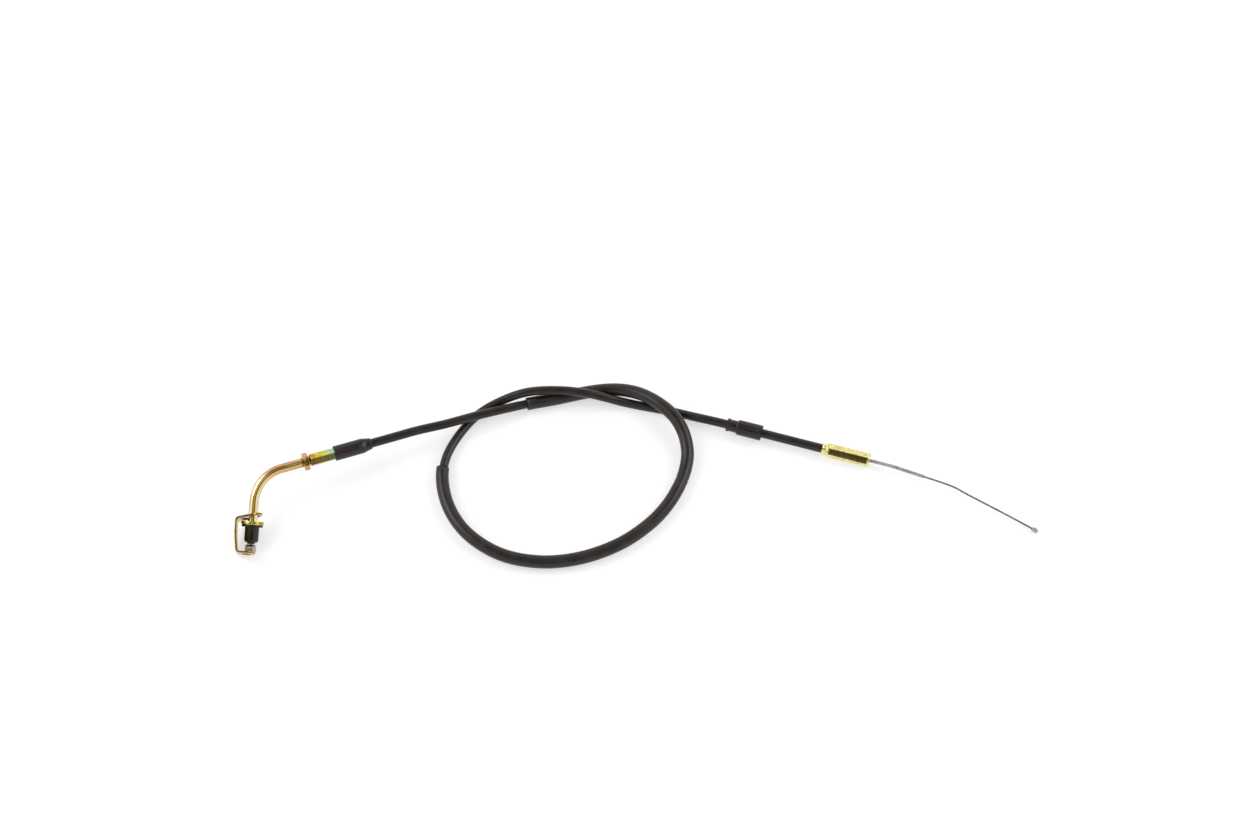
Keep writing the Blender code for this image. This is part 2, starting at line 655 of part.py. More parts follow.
def build_casing(jacket, steel, plastic, wire, rubber):
    """The casing's nested tubes and the wire in them, on one centreline."""
    points = [CORNER + ADJUSTER * CASING_START]
    points += [CORNER + ADJUSTER * station for station in ROUTE_LEADS]
    points += [placed(point) for point in ROUTE]
    points += [FERRULE_TIP - FERRULE * station for station in ROUTE_TRAILS]
    points.append(FERRULE_TIP - FERRULE * CASING_END)
    curve = smooth_curve(points)
    total = curve_length(curve)
    lead = stretch(curve, 0.0, SLEEVE_START, CORD_PITCH)
    middle = stretch(curve, SLEEVE_START, SLEEVE_END, CORD_PITCH)
    trail = stretch(curve, SLEEVE_END, total, CORD_PITCH)
    line = lead + middle[1:] + trail[1:]
    cord("casing_jacket", line, JACKET_RADIUS, jacket, JACKET_BORE)
    cord("casing_winding", line, CASING_RADIUS, steel, CASING_BORE)
    cord("protective_sleeve", middle, SLEEVE_RADIUS, rubber, SLEEVE_BORE, resolution=3)

    straight_start = LINER_MOUTH - TAIL * LINER_STRAIGHT
    liner_head = CORNER + ADJUSTER * (ELBOW_THREAD_END + 0.5 * MM)
    liner = [liner_head] + line
    liner += [FERRULE_TIP - FERRULE * 1.0 * MM, straight_start, LINER_MOUTH]
    cord("inner_liner", liner, LINER_RADIUS, plastic, LINER_BORE)

    arc = elbow_arc()
    head = arc + [CORNER + ADJUSTER * LOCKNUT_START]
    cord("inner_wire", head + liner[:-2], WIRE_RADIUS, wire)


def build_wire_ends(wire, die_cast):
    """Moving stretches of the wire with their nipples."""
    inner = CORNER + LEG * (ELBOW_BEND * math.tan((math.pi - LEG.angle(ADJUSTER)) / 2.0) + 1.0 * MM)
    outer = CORNER + LEG * (GRIP_NIPPLE_STATION + GRIP_NIPPLE_RADIUS - GRIP_WIRE_SHORT)
    cord("wire_grip_end", [inner, outer], WIRE_RADIUS, wire, origin=CORNER)

    start = LINER_MOUTH - TAIL * TAIL_INSIDE
    straight = LINER_MOUTH + TAIL * TAIL_STRAIGHT
    knots = [LINER_MOUTH + TAIL * TAIL_STRAIGHT / 2.0, straight]
    knots += [placed(point) for point in TAIL_ROUTE]
    end_direction = (knots[-1] - knots[-2]).normalized()
    nipple_start = knots[-1]
    wire_depth = CARB_NIPPLE_LENGTH - CARB_NIPPLE_FLOOR - SEAT_GAP
    knots.append(nipple_start + end_direction * wire_depth)
    curve = smooth_curve(knots)
    points = [start] + stretch(curve, 0.0, curve_length(curve), TAIL_PITCH)
    cord("wire_tail", points, WIRE_RADIUS, wire, origin=LINER_MOUTH)

    frame = axis_frame(nipple_start, end_direction, UP)
    radius = CARB_NIPPLE_RADIUS
    bore = WIRE_RADIUS + SEAT_GAP
    edge = CARB_NIPPLE_EDGE
    length = CARB_NIPPLE_LENGTH
    floor = length - CARB_NIPPLE_FLOOR
    profile = [
        (bore, 0.0), (radius - edge, 0.0), (radius, edge), (radius, length - edge),
        (radius - edge, length), (0.0, length), (0.0, floor), (bore, floor),
    ]
    lathe("carburettor_nipple", profile, die_cast, frame, sides=SIDES_SMALL)


def main():
    clear_scene()
    zinc = make_material("yellow_zinc_elbow", (0.55, 0.40, 0.12), 0.30, 1.0)
    flange_zinc = make_material("yellow_zinc_flange", (0.62, 0.52, 0.10), 0.30, 1.0)
    bracket_zinc = make_material("yellow_zinc_bracket", (0.50, 0.42, 0.12), 0.38, 1.0)
    nut_zinc = make_material("yellow_zinc_nut", (0.60, 0.34, 0.20), 0.32, 1.0)
    adjuster_zinc = make_material("yellow_zinc_adjuster", (0.48, 0.42, 0.10), 0.30, 1.0)
    ferrule_zinc = make_material("yellow_zinc_ferrule", (0.66, 0.56, 0.20), 0.30, 1.0)
    nose_plastic = make_material("black_nylon", (0.03, 0.03, 0.03), 0.45)
    boot_rubber = make_material("black_rubber", (0.025, 0.022, 0.022), 0.65)
    jacket_vinyl = make_material("black_vinyl_jacket", (0.03, 0.028, 0.028), 0.50)
    sleeve_vinyl = make_material("black_vinyl_sleeve", (0.035, 0.032, 0.03), 0.55)
    liner_plastic = make_material("white_liner", (0.80, 0.80, 0.78), 0.40)
    winding_steel = make_material("spring_steel", (0.45, 0.45, 0.45), 0.40, 1.0)
    wire_steel = make_material("stranded_steel_wire", (0.40, 0.36, 0.30), 0.40, 1.0)
    die_cast = make_material("die_cast_zinc", (0.50, 0.50, 0.48), 0.50, 1.0)

    build_elbow(zinc)
    build_seat_flange(flange_zinc)
    build_nose_sleeve(nose_plastic)
    build_grip_nipple(die_cast)
    build_bracket(bracket_zinc)
    build_locknut(nut_zinc)
    build_adjuster(adjuster_zinc)
    build_adjuster_boot(boot_rubber)
    build_dust_boot(boot_rubber)
    build_hex_ferrule(ferrule_zinc)
    build_casing(jacket_vinyl, winding_steel, liner_plastic, wire_steel, sleeve_vinyl)
    build_wire_ends(wire_steel, die_cast)
    bpy.context.view_layer.update()


main()
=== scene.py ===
# %% [markdown]
# # A throttle cable, dressed over its imported frame
# The cable lies on a table with one loop in it: a plated elbow with a clamping
# bracket on the left, a black casing with a thicker sleeve over half of it, and
# a hex ferrule with a liner and a bare wire on the right. The frame holds the
# solids that fix every size. Each cell below makes or finishes one piece.

# %% Load the frame and list its parts
import math

import bmesh
import bpy
from mathutils import Matrix, Vector


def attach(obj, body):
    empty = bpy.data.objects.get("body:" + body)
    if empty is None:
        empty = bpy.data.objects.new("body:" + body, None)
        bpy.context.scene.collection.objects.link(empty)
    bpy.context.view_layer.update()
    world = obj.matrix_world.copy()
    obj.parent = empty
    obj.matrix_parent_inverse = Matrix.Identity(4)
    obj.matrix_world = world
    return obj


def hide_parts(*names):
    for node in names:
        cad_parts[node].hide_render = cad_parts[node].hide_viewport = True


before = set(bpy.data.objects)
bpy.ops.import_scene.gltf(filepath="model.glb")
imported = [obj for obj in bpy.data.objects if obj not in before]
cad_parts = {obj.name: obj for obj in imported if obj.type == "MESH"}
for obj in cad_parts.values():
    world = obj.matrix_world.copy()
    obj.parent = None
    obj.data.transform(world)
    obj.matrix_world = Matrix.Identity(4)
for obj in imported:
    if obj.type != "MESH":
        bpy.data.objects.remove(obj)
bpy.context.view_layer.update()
MM = 0.001
UP = Vector((0.0, 0.0, 1.0))


def add_object(name, data):
    """Put data into the scene as an object at the origin."""
    made = bpy.data.objects.new(name, data)
    bpy.context.scene.collection.objects.link(made)
    return made


print("nodes:", sorted(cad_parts))

# %% [markdown]
# The photograph was taken from the front and well above the table. A long lens
# far away keeps both ends of the cable at one scale. The camera comes first,
# because everything is judged through it.

# %% The camera at the photograph's angle
CAMERA_PLACE = Vector((-9.3, -603.5, 1236.1)) * MM
CAMERA_AIM = Vector((-9.3, 53.8, 0.0)) * MM
SENSOR_WIDTH, FOCAL_LENGTH = 36.0, 65.34
camera_data = bpy.data.cameras.new("table_camera")
camera_data.sensor_width = SENSOR_WIDTH
camera_data.lens = FOCAL_LENGTH
camera = add_object("table_camera", camera_data)
camera.location = CAMERA_PLACE
sight = CAMERA_AIM - CAMERA_PLACE
camera.rotation_euler = sight.to_track_quat("-Z", "Y").to_euler()
bpy.context.scene.camera = camera
print("camera looks down, degrees:", round(math.degrees(math.asin(-sight.z / sight.length))))

# %% [markdown]
# Every fitting is turned about a straight axis, so four axes place them all:
# the elbow's leg, the adjuster, the ferrule and the bare wire. An azimuth and a
# slope give each one.

# %% The four axes of the cable
def direction(azimuth, slope):
    """Unit vector at an azimuth from +X and a slope above the table."""
    flat = math.cos(math.radians(slope))
    return Vector((
        flat * math.cos(math.radians(azimuth)),
        flat * math.sin(math.radians(azimuth)),
        math.sin(math.radians(slope)),
    ))


def axis_frame(origin, axis, up=UP):
    """Frame whose Z is the axis and whose Y leans towards up."""
    z = axis.normalized()
    x = up.cross(z).normalized()
    placed = Matrix((x, z.cross(x), z)).transposed().to_4x4()
    placed.translation = origin
    return placed


CORNER = Vector((-228.8, 0.4, 22.33)) * MM
FERRULE_TIP = Vector((142.13, 19.64, 4.31)) * MM
LINER_MOUTH = Vector((174.76, 9.16, 3.20)) * MM
LEG = direction(-94.5, -25.0)
ADJUSTER = direction(20.7, -5.5)
FERRULE = direction(-15.7, -0.65)
TAIL = direction(-19.65, -1.8)
LEG_FRAME = axis_frame(CORNER, LEG)
ADJUSTER_FRAME = axis_frame(CORNER, ADJUSTER)
FERRULE_FRAME = axis_frame(FERRULE_TIP, -FERRULE)
print("angle between the elbow's legs:", round(math.degrees(LEG.angle(ADJUSTER)), 1))

# %% [markdown]
# The casing is one length of stiff cord laid in a loop, so its route is a smooth
# curve through measured points. A centripetal spline passes through every point
# without the overshoot that a plain cubic makes.

# %% The casing's route over the table
ROUTE = [
    (-117.9, 41.7, 10.2), (-97.3, 48.8, 8.7), (-67.8, 58.6, 4.9), (-49.0, 63.0, 4.0),
    (-29.8, 67.5, 4.0), (-18.6, 68.7, 4.6), (-8.1, 67.6, 6.2), (2.5, 63.7, 8.3),
    (13.8, 55.9, 10.1), (22.7, 47.2, 9.9), (28.5, 36.7, 8.0), (30.8, 24.8, 5.6),
    (29.4, 14.0, 4.3), (25.1, 1.8, 4.0), (17.3, -11.7, 4.0), (7.1, -23.2, 4.0),
    (-10.6, -36.2, 4.0), (-34.3, -45.5, 4.0), (-58.3, -48.0, 4.0), (-82.3, -42.9, 4.0),
    (-102.6, -29.1, 4.0), (-113.6, -12.5, 4.0), (-118.2, 6.5, 4.0), (-117.0, 21.4, 3.7),
    (-110.2, 36.8, 3.1), (-98.4, 52.0, 3.1), (-84.8, 59.9, 5.6), (-68.0, 64.2, 9.8),
    (-47.6, 64.7, 11.2), (-31.5, 63.2, 10.4), (-20.4, 62.0, 7.4), (-9.3, 60.6, 3.8),
    (3.1, 58.2, 2.9), (19.2, 54.8, 2.9), (33.9, 50.5, 3.8),
]
CASING_START = 49.7 * MM
CASING_END = 18.3 * MM
ROUTE_LEADS = (70.0 * MM, 86.0 * MM, 101.0 * MM)
ROUTE_TRAILS = (96.0 * MM, 79.0 * MM, 59.0 * MM, 39.0 * MM)


def smooth_curve(points, steps=16):
    """Centripetal spline through the points, sampled finely."""
    ends = [2.0 * points[0] - points[1], 2.0 * points[-1] - points[-2]]
    knots = [ends[0]] + list(points) + [ends[1]]
    samples = []
    for i in range(1, len(knots) - 2):
        p0, p1, p2, p3 = knots[i - 1:i + 3]
        t1 = (p1 - p0).length ** 0.5
        t2 = t1 + (p2 - p1).length ** 0.5
        t3 = t2 + (p3 - p2).length ** 0.5
        for k in range(steps):
            t = t1 + (t2 - t1) * k / steps
            a1 = p0.lerp(p1, t / t1)
            a2 = p1.lerp(p2, (t - t1) / (t2 - t1))
            a3 = p2.lerp(p3, (t - t2) / (t3 - t2))
            b1 = a1.lerp(a2, t / t2)
            b2 = a2.lerp(a3, (t - t1) / (t3 - t1))
            samples.append(b1.lerp(b2, (t - t1) / (t2 - t1)))
    samples.append(points[-1].copy())
    return samples


def curve_length(curve):
    """Length of a chain of points."""
    return sum((after - before).length for before, after in zip(curve, curve[1:]))


def stretch(curve, pitch, start=0.0, end=None):
    """Evenly spaced points along a curve, or between two lengths along it."""
    end = curve_length(curve) if end is None else end
    count = max(2, round((end - start) / pitch))
    wanted = [start + (end - start) * i / count for i in range(count + 1)]
    found = []
    travelled = 0.0
    for before, after in zip(curve, curve[1:]):
        length = (after - before).length
        while wanted and travelled + length >= wanted[0] - 1e-9:
            found.append(before.lerp(after, (wanted[0] - travelled) / length))
            wanted.pop(0)
        travelled += length
    found.extend(curve[-1].copy() for _ in wanted)
    return found


route = [CORNER + ADJUSTER * CASING_START]
route += [CORNER + ADJUSTER * station for station in ROUTE_LEADS]
route += [Vector(point) * MM for point in ROUTE]
route += [FERRULE_TIP - FERRULE * station for station in ROUTE_TRAILS]
route.append(FERRULE_TIP - FERRULE * CASING_END)
CASING_LINE = smooth_curve(route)
print("casing length, mm:", round(curve_length(CASING_LINE) / MM, 1))

# %% [markdown]
# A material starts from a Principled shader, and nodes add what varies over the
# surface. Colours are picked as sRGB hex, as they are read off a screen, and the
# shader wants linear light, so one function turns them.

# %% Colour and node helpers
def linear(hex_code):
    """sRGB hex to the linear colour that shaders take."""
    parts = [int(hex_code[i:i + 2], 16) / 255.0 for i in (0, 2, 4)]
    turned = [p / 12.92 if p <= 0.04045 else ((p + 0.055) / 1.055) ** 2.4 for p in parts]
    return (*turned, 1.0)


def finish(name, colour_hex, roughness, metallic=0.0, **uniform):
    """A material with its even values set on the shader's own sockets."""
    made = bpy.data.materials.new(name)
    made.use_nodes = True
    shader = made.node_tree.nodes["Principled BSDF"]
    shader.inputs["Base Color"].default_value = linear(colour_hex)
    shader.inputs["Roughness"].default_value = roughness
    shader.inputs["Metallic"].default_value = metallic
    for socket, value in uniform.items():
        shader.inputs[socket.replace("_", " ")].default_value = value
    return made


def add_node(material, kind, inputs, settings=None, stops=None):
    """Add one node: its links or values by input, its settings and its ramp."""
    tree = material.node_tree
    made = tree.nodes.new(kind)
    for key, value in (settings or {}).items():
        setattr(made, key, value)
    for key, value in inputs.items():
        if isinstance(value, bpy.types.NodeSocket):
            tree.links.new(value, made.inputs[key])
        else:
            made.inputs[key].default_value = value
    if stops:
        ramp = made.color_ramp.elements
        while len(ramp) < len(stops):
            ramp.new(1.0)
        for element, (place, value) in zip(ramp, stops):
            element.position = place
            element.color = linear(value) if isinstance(value, str) else (value, value, value, 1.0)
    return made


def into_shader(material, source, socket):
    """Link a node's output to one socket of the shader."""
    shader = material.node_tree.nodes["Principled BSDF"]
    material.node_tree.links.new(source, shader.inputs[socket])


def gloss_and_grain(material, drift, spread, roughness, height=None, strength=0.0, depth=0.0):
    """Vary the roughness with one noise, and raise a grain, depth millimetres deep, by
    another."""
    gloss = add_node(material, "ShaderNodeMapRange", {
        "Value": drift, "From Min": spread[0], "From Max": spread[1],
        "To Min": roughness[0], "To Max": roughness[1],
    })
    into_shader(material, gloss.outputs["Result"], "Roughness")
    if height:
        grain = add_node(material, "ShaderNodeBump", {
            "Height": height, "Strength": strength, "Distance": depth * MM,
        })
        into_shader(material, grain.outputs["Normal"], "Normal")


def per_mm(millimetres):
    """Noise scale whose features are about this many millimetres wide."""
    return 1000.0 / millimetres


# A Mix node's sockets share their names, so its colours go by number.
MIX_SHARE, MIX_A, MIX_B, MIXED = 0, 6, 7, 2
print("mid grey, linear:", round(linear("808080")[0], 3))

# %% [markdown]
# Yellow zinc plate is a bright metal coat under a very thin chromate film. The
# film is uneven, so light splits in it: gold where it is thin, then green, pink
# and olive. Broad noise picks the tint, and a finer one frosts the gloss. One
# function makes every plated piece, with the tints in the order that each shows.
# On some pieces it also paints shade and dark reflection inside set windows.

# %% Yellow zinc plate
def zinc_plate(name, tints, blotch_mm, roughness=(0.16, 0.34), run=None, noise=1.0, painted_shade=None):
    """Chromate tints over a metal. run = (start, direction, length) lays them along a line.
    The last argument, (colour, window, ...), paints shade and dark reflection over what lies
    inside every one of its windows, and a window is (start, direction or None, length, stops)."""
    plate = finish(name, tints[1], roughness[0], metallic=1.0)
    where = add_node(plate, "ShaderNodeTexCoord", {}).outputs["Object"]

    def reach(start, along, length):
        """Share of a length along a direction, or out from a centre if there is none."""
        offset = add_node(plate, "ShaderNodeVectorMath", {
            0: where, 1: start,
        }, {"operation": "SUBTRACT"})
        if along is None:
            scaled = add_node(plate, "ShaderNodeVectorMath", {
                0: offset.outputs["Vector"], "Scale": 1.0 / length,
            }, {"operation": "SCALE"})
            return add_node(plate, "ShaderNodeVectorMath", {
                0: scaled.outputs["Vector"],
            }, {"operation": "LENGTH"}).outputs["Value"]
        return add_node(plate, "ShaderNodeVectorMath", {
            0: offset.outputs["Vector"], 1: along / length,
        }, {"operation": "DOT_PRODUCT"}).outputs["Value"]

    blotch = add_node(plate, "ShaderNodeTexNoise", {
        "Vector": where, "Scale": per_mm(blotch_mm), "Detail": 4.0,
        "Roughness": 0.62, "Distortion": 0.8,
    })
    drift = blotch.outputs["Fac"]
    low, high = 0.34, 0.66
    if run:
        shaken = add_node(plate, "ShaderNodeMath", {
            0: drift, 1: noise, 2: reach(*run),
        }, {"operation": "MULTIPLY_ADD"})
        drift = shaken.outputs["Value"]
        low, high = noise * 0.5, noise * 0.5 + 1.0
    places = add_node(plate, "ShaderNodeMapRange", {
        "Value": drift, "From Min": low, "From Max": high,
    })
    film = add_node(
        plate, "ShaderNodeValToRGB", {"Fac": places.outputs["Result"]},
        stops=[(i / (len(tints) - 1), tint) for i, tint in enumerate(tints)],
    )
    coat = film.outputs["Color"]
    # Painted shade and dark reflection: inside the windows the coat turns to one dark colour.
    if painted_shade:
        amount = 1.0
        for window in painted_shade[1:]:
            inside = add_node(
                plate, "ShaderNodeValToRGB", {"Fac": reach(*window[:3])}, stops=window[3])
            amount = add_node(plate, "ShaderNodeMath", {
                0: inside.outputs["Color"], 1: amount,
            }, {"operation": "MULTIPLY"}).outputs["Value"]
        coat = add_node(plate, "ShaderNodeMix", {
            MIX_SHARE: amount, MIX_A: coat, MIX_B: linear(painted_shade[0]),
        }, {"data_type": "RGBA"}).outputs[MIXED]
    mottle = add_node(plate, "ShaderNodeTexNoise", {
        "Vector": where, "Scale": per_mm(1.3), "Detail": 5.0, "Roughness": 0.7,
    })
    stain = add_node(
        plate, "ShaderNodeValToRGB", {"Fac": mottle.outputs["Fac"]},
        stops=[(0.36, "8c7a5a"), (0.52, "ffffff")],
    )
    worn = add_node(plate, "ShaderNodeMix", {
        MIX_SHARE: 0.6, MIX_A: coat, MIX_B: stain.outputs["Color"],
    }, {"data_type": "RGBA", "blend_type": "MULTIPLY"})
    into_shader(plate, worn.outputs[MIXED], "Base Color")
    frost = add_node(plate, "ShaderNodeTexNoise", {
        "Vector": where, "Scale": per_mm(0.6), "Detail": 4.0,
    })
    gloss_and_grain(
        plate, mottle.outputs["Fac"], (0.35, 0.65), roughness[::-1], frost.outputs["Fac"], 0.3,
        0.03)
    return plate


# Millimetres across the flats of the three hexagons and the ferrule's corners.
NUT_FLATS, BAR_FLATS, FERRULE_FLATS, FERRULE_CORNERS = 9.2, 6.9, 7.5, 8.66
RING_REACH = 12.0 * MM
# Direction across the adjuster, square to the camera's line of sight.
NUT_SIDE = ADJUSTER.cross(Vector((0.0, -0.47, 0.88))).normalized()
FLANGE_ZINC = zinc_plate("yellow_zinc_flange", ["8f7a2a", "e6d25a", "f4e98c"], 4.0)
# Round its hole, the ring ear is painted near black on its face and its sheared edges. This is
# painted dark reflection and shade from the floor under the ear and the black nose.
RING_CENTRE = LEG_FRAME @ (Vector((-1.5, -0.6, 24.75)) * MM)
BRACKET_ZINC = zinc_plate(
    "yellow_zinc_bracket", ["7d6a34", "c2ab4e", "e8dc8a", "d79a62"], 5.0,
    painted_shade=("1c1610", (RING_CENTRE, None, RING_REACH, [(0.46, 0.95), (0.52, 0.0)])))
EDGE_ZINC = zinc_plate(
    "yellow_zinc_sheared_edge", ["5f4322", "a5773a", "c9a45a"], 2.5,
    painted_shade=("0e0b08", (RING_CENTRE, None, RING_REACH, [(0.46, 0.97), (0.50, 0.0)])))
# As the camera sees it, the tints across the nut run pink, yellow, dark olive, yellow, pink. The
# pink and yellow are chromate tint. The dark olive of the face turned to the camera is painted
# dark reflection.
NUT_ZINC = zinc_plate(
    "yellow_zinc_nut", ["e2988a", "dcb070", "907038", "cdb25c", "dc8f78"], 3.0,
    run=(
        CORNER + ADJUSTER * 30.7 * MM - NUT_SIDE * NUT_FLATS / 2.0 * MM, NUT_SIDE,
        NUT_FLATS * MM), noise=0.4)
# The adjuster's tints run along it. As the camera sees it, its lower face is painted dark olive:
# painted shade and dark reflection.
ADJUSTER_ZINC = zinc_plate(
    "yellow_zinc_adjuster", ["d8873e", "dcc24a", "d9dc62", "cfe08a", "a6d8c8"], 4.0,
    run=(CORNER + ADJUSTER * 33.4 * MM, ADJUSTER, 16.0 * MM), noise=0.9,
    painted_shade=("62502c", (
        CORNER + ADJUSTER * 42.0 * MM - NUT_SIDE * 3.4 * MM, NUT_SIDE, 6.8 * MM,
        [(0.405, 0.0), (0.435, 0.92), (0.955, 0.92), (0.975, 0.0)])))
# The rounded edges of the hexes get a paler plate: painted highlight along the edges.
RIM_ZINC = zinc_plate("yellow_zinc_highlight_rim", ["d8b45c", "f2dc8c", "faf0c0"], 3.0)
# FERRULE_SIDE runs across the ferrule, square to the camera's line of sight. As the camera sees
# it, the ferrule's middle face is painted dark olive along the hex: painted shade and dark
# reflection.
FERRULE_SIDE = FERRULE.cross(Vector((0.0, 0.47, -0.88))).normalized()
FERRULE_ZINC = zinc_plate(
    "yellow_zinc_ferrule", ["c9a94c", "efe07a", "faf3b4", "f0dc80"], 6.0,
    painted_shade=("4c3c18", (
        FERRULE_TIP - FERRULE_SIDE * FERRULE_CORNERS / 2.0 * MM, FERRULE_SIDE,
        FERRULE_CORNERS * MM,
        [(0.17, 0.0), (0.215, 0.96), (0.595, 0.96), (0.64, 0.0)]), (
        FERRULE_TIP, -FERRULE, 30.0 * MM,
        [(0.035, 0.0), (0.065, 1.0), (0.845, 1.0), (0.875, 0.0)])))
print("plated finishes:", [m.name for m in bpy.data.materials if "zinc" in m.name])

# %% [markdown]
# The bend lies in one plane, and the elbow tube's colour runs along it in bands
# by the height above that plane, which is the same all along a band: nothing at
# the tube's two sides and most at its crown. The bands are partly chromate tint
# and partly painted highlight and dark reflection: the cream and pale bands stand
# for the lines of light along the tube. One ramp colours the leg and another the
# head, and the tube's own UV map blends them. Fine streaks from the same map then
# break up the bands.

# %% The elbow tube's tint bands and painted highlight
ELBOW_RADIUS = 2.85 * MM
ELBOW_NORMAL = LEG.cross(ADJUSTER).normalized()
BAND_SPREAD, BAND_SHAKE = 0.9, 0.10
TUBE_ZINC = finish("yellow_zinc_tube", "cdb24a", 0.20, metallic=1.0)
tube_uv = add_node(TUBE_ZINC, "ShaderNodeUVMap", {}, {"uv_map": "UVMap"})
tube_streaks = add_node(TUBE_ZINC, "ShaderNodeMapping", {
    "Vector": tube_uv.outputs["UV"], "Scale": (2.0, 9.0, 1.0),
})
tube_noise = add_node(TUBE_ZINC, "ShaderNodeTexNoise", {
    "Vector": tube_streaks.outputs[0], "Scale": 1.6, "Detail": 3.0, "Roughness": 0.55,
})
tube_place = add_node(TUBE_ZINC, "ShaderNodeTexCoord", {})
tube_offset = add_node(TUBE_ZINC, "ShaderNodeVectorMath", {
    0: tube_place.outputs["Object"], 1: CORNER,
}, {"operation": "SUBTRACT"})
tube_height = add_node(TUBE_ZINC, "ShaderNodeVectorMath", {
    0: tube_offset.outputs["Vector"], 1: ELBOW_NORMAL * BAND_SPREAD / ELBOW_RADIUS,
}, {"operation": "DOT_PRODUCT"})
tube_either_side = add_node(TUBE_ZINC, "ShaderNodeMath", {
    0: tube_height.outputs["Value"],
}, {"operation": "ABSOLUTE"})
tube_shaken = add_node(TUBE_ZINC, "ShaderNodeMath", {
    0: tube_noise.outputs["Fac"], 1: BAND_SHAKE, 2: tube_either_side.outputs["Value"],
}, {"operation": "MULTIPLY_ADD"})
# Leg and head ramps: chromate tint with bands of painted highlight and dark reflection.
tube_leg_film_and_highlight = add_node(
    TUBE_ZINC, "ShaderNodeValToRGB", {"Fac": tube_shaken.outputs["Value"]}, stops=[
        (0.00, "e4cc7c"), (0.27, "dc9c74"), (0.47, "f0ccaa"), (0.67, "f6f0cc"), (0.87, "dcecd8"),
        (0.92, "ecd060"), (0.95, "f0c040"),
    ])
tube_head_film_and_highlight = add_node(
    TUBE_ZINC, "ShaderNodeValToRGB", {"Fac": tube_shaken.outputs["Value"]}, stops=[
        (0.00, "dcc474"), (0.27, "dc9c7c"), (0.63, "e0a884"), (0.80, "d8ae86"), (0.90, "d4c07c"),
        (0.95, "ccba74"),
    ])
tube_along = add_node(TUBE_ZINC, "ShaderNodeSeparateXYZ", {"Vector": tube_uv.outputs["UV"]})
tube_share = add_node(TUBE_ZINC, "ShaderNodeMapRange", {
    "Value": tube_along.outputs["X"], "From Min": 0.40, "From Max": 0.72,
})
tube_film_and_highlight = add_node(TUBE_ZINC, "ShaderNodeMix", {
    MIX_SHARE: tube_share.outputs["Result"], MIX_A: tube_leg_film_and_highlight.outputs["Color"],
    MIX_B: tube_head_film_and_highlight.outputs["Color"],
}, {"data_type": "RGBA"})
tube_tint = add_node(
    TUBE_ZINC, "ShaderNodeValToRGB", {"Fac": tube_noise.outputs["Fac"]},
    stops=[(0.34, "a08c50"), (0.48, "ffffff"), (0.60, "ffdcc4"), (0.72, "cfe4cc")],
)
tube_coat = add_node(TUBE_ZINC, "ShaderNodeMix", {
    MIX_SHARE: 0.7, MIX_A: tube_film_and_highlight.outputs[MIXED], MIX_B: tube_tint.outputs["Color"],
}, {"data_type": "RGBA", "blend_type": "MULTIPLY"})
into_shader(TUBE_ZINC, tube_coat.outputs[MIXED], "Base Color")
tube_frost = add_node(TUBE_ZINC, "ShaderNodeTexNoise", {
    "Vector": tube_place.outputs["Object"], "Scale": per_mm(0.6), "Detail": 3.0,
})
gloss_and_grain(TUBE_ZINC, tube_frost.outputs["Fac"], (0.35, 0.65), (0.14, 0.26))
print("height of the bend's plane normal:", round(ELBOW_NORMAL.z, 2))

# %% [markdown]
# Vinyl, rubber and nylon are all black here, and differ by their gloss. Extruded
# vinyl is the most satin, moulded rubber has a fine orange-peel, and the nylon
# nose is the glossiest. Handling leaves a grey haze.

# %% Black vinyl, rubber and nylon
HAZE_MM = 9.0


def black_polymer(name, deep, dusty, roughness, grain_mm, relief):
    """Black plastic with a dusty haze and a fine grain, relief millimetres deep."""
    polymer = finish(name, deep, roughness[0], IOR=1.42)
    where = add_node(polymer, "ShaderNodeTexCoord", {}).outputs["Object"]
    haze = add_node(polymer, "ShaderNodeTexNoise", {
        "Vector": where, "Scale": per_mm(HAZE_MM), "Detail": 5.0,
        "Roughness": 0.6,
    })
    skin = add_node(
        polymer, "ShaderNodeValToRGB", {"Fac": haze.outputs["Fac"]},
        stops=[(0.35, deep), (0.68, dusty)],
    )
    into_shader(polymer, skin.outputs["Color"], "Base Color")
    grain = add_node(polymer, "ShaderNodeTexNoise", {
        "Vector": where, "Scale": per_mm(grain_mm), "Detail": 3.0,
    })
    gloss_and_grain(
        polymer, haze.outputs["Fac"], (0.3, 0.7), roughness, grain.outputs["Fac"], 0.35, relief)
    return polymer


JACKET_VINYL = black_polymer("black_vinyl_jacket", "17110e", "28211d", (0.26, 0.38), 0.7, 0.03)
SLEEVE_VINYL = black_polymer("black_vinyl_sleeve", "19130f", "2b2421", (0.28, 0.40), 0.8, 0.04)
BOOT_RUBBER = black_polymer("black_moulded_rubber", "150f0d", "2a211e", (0.22, 0.34), 0.5, 0.04)
NOSE_NYLON = black_polymer("black_moulded_nylon", "15100d", "261d18", (0.20, 0.30), 0.6, 0.02)
print("black finishes:", [m.name for m in bpy.data.materials if m.name.startswith("black")])

# %% [markdown]
# The liner is a thin tube of milky plastic that lets a little light through.
# The barrel and the small nipple are die-cast zinc alloy, cool grey and frosted
# by the mould. The wire is drawn steel, slightly brown where oil has dried.

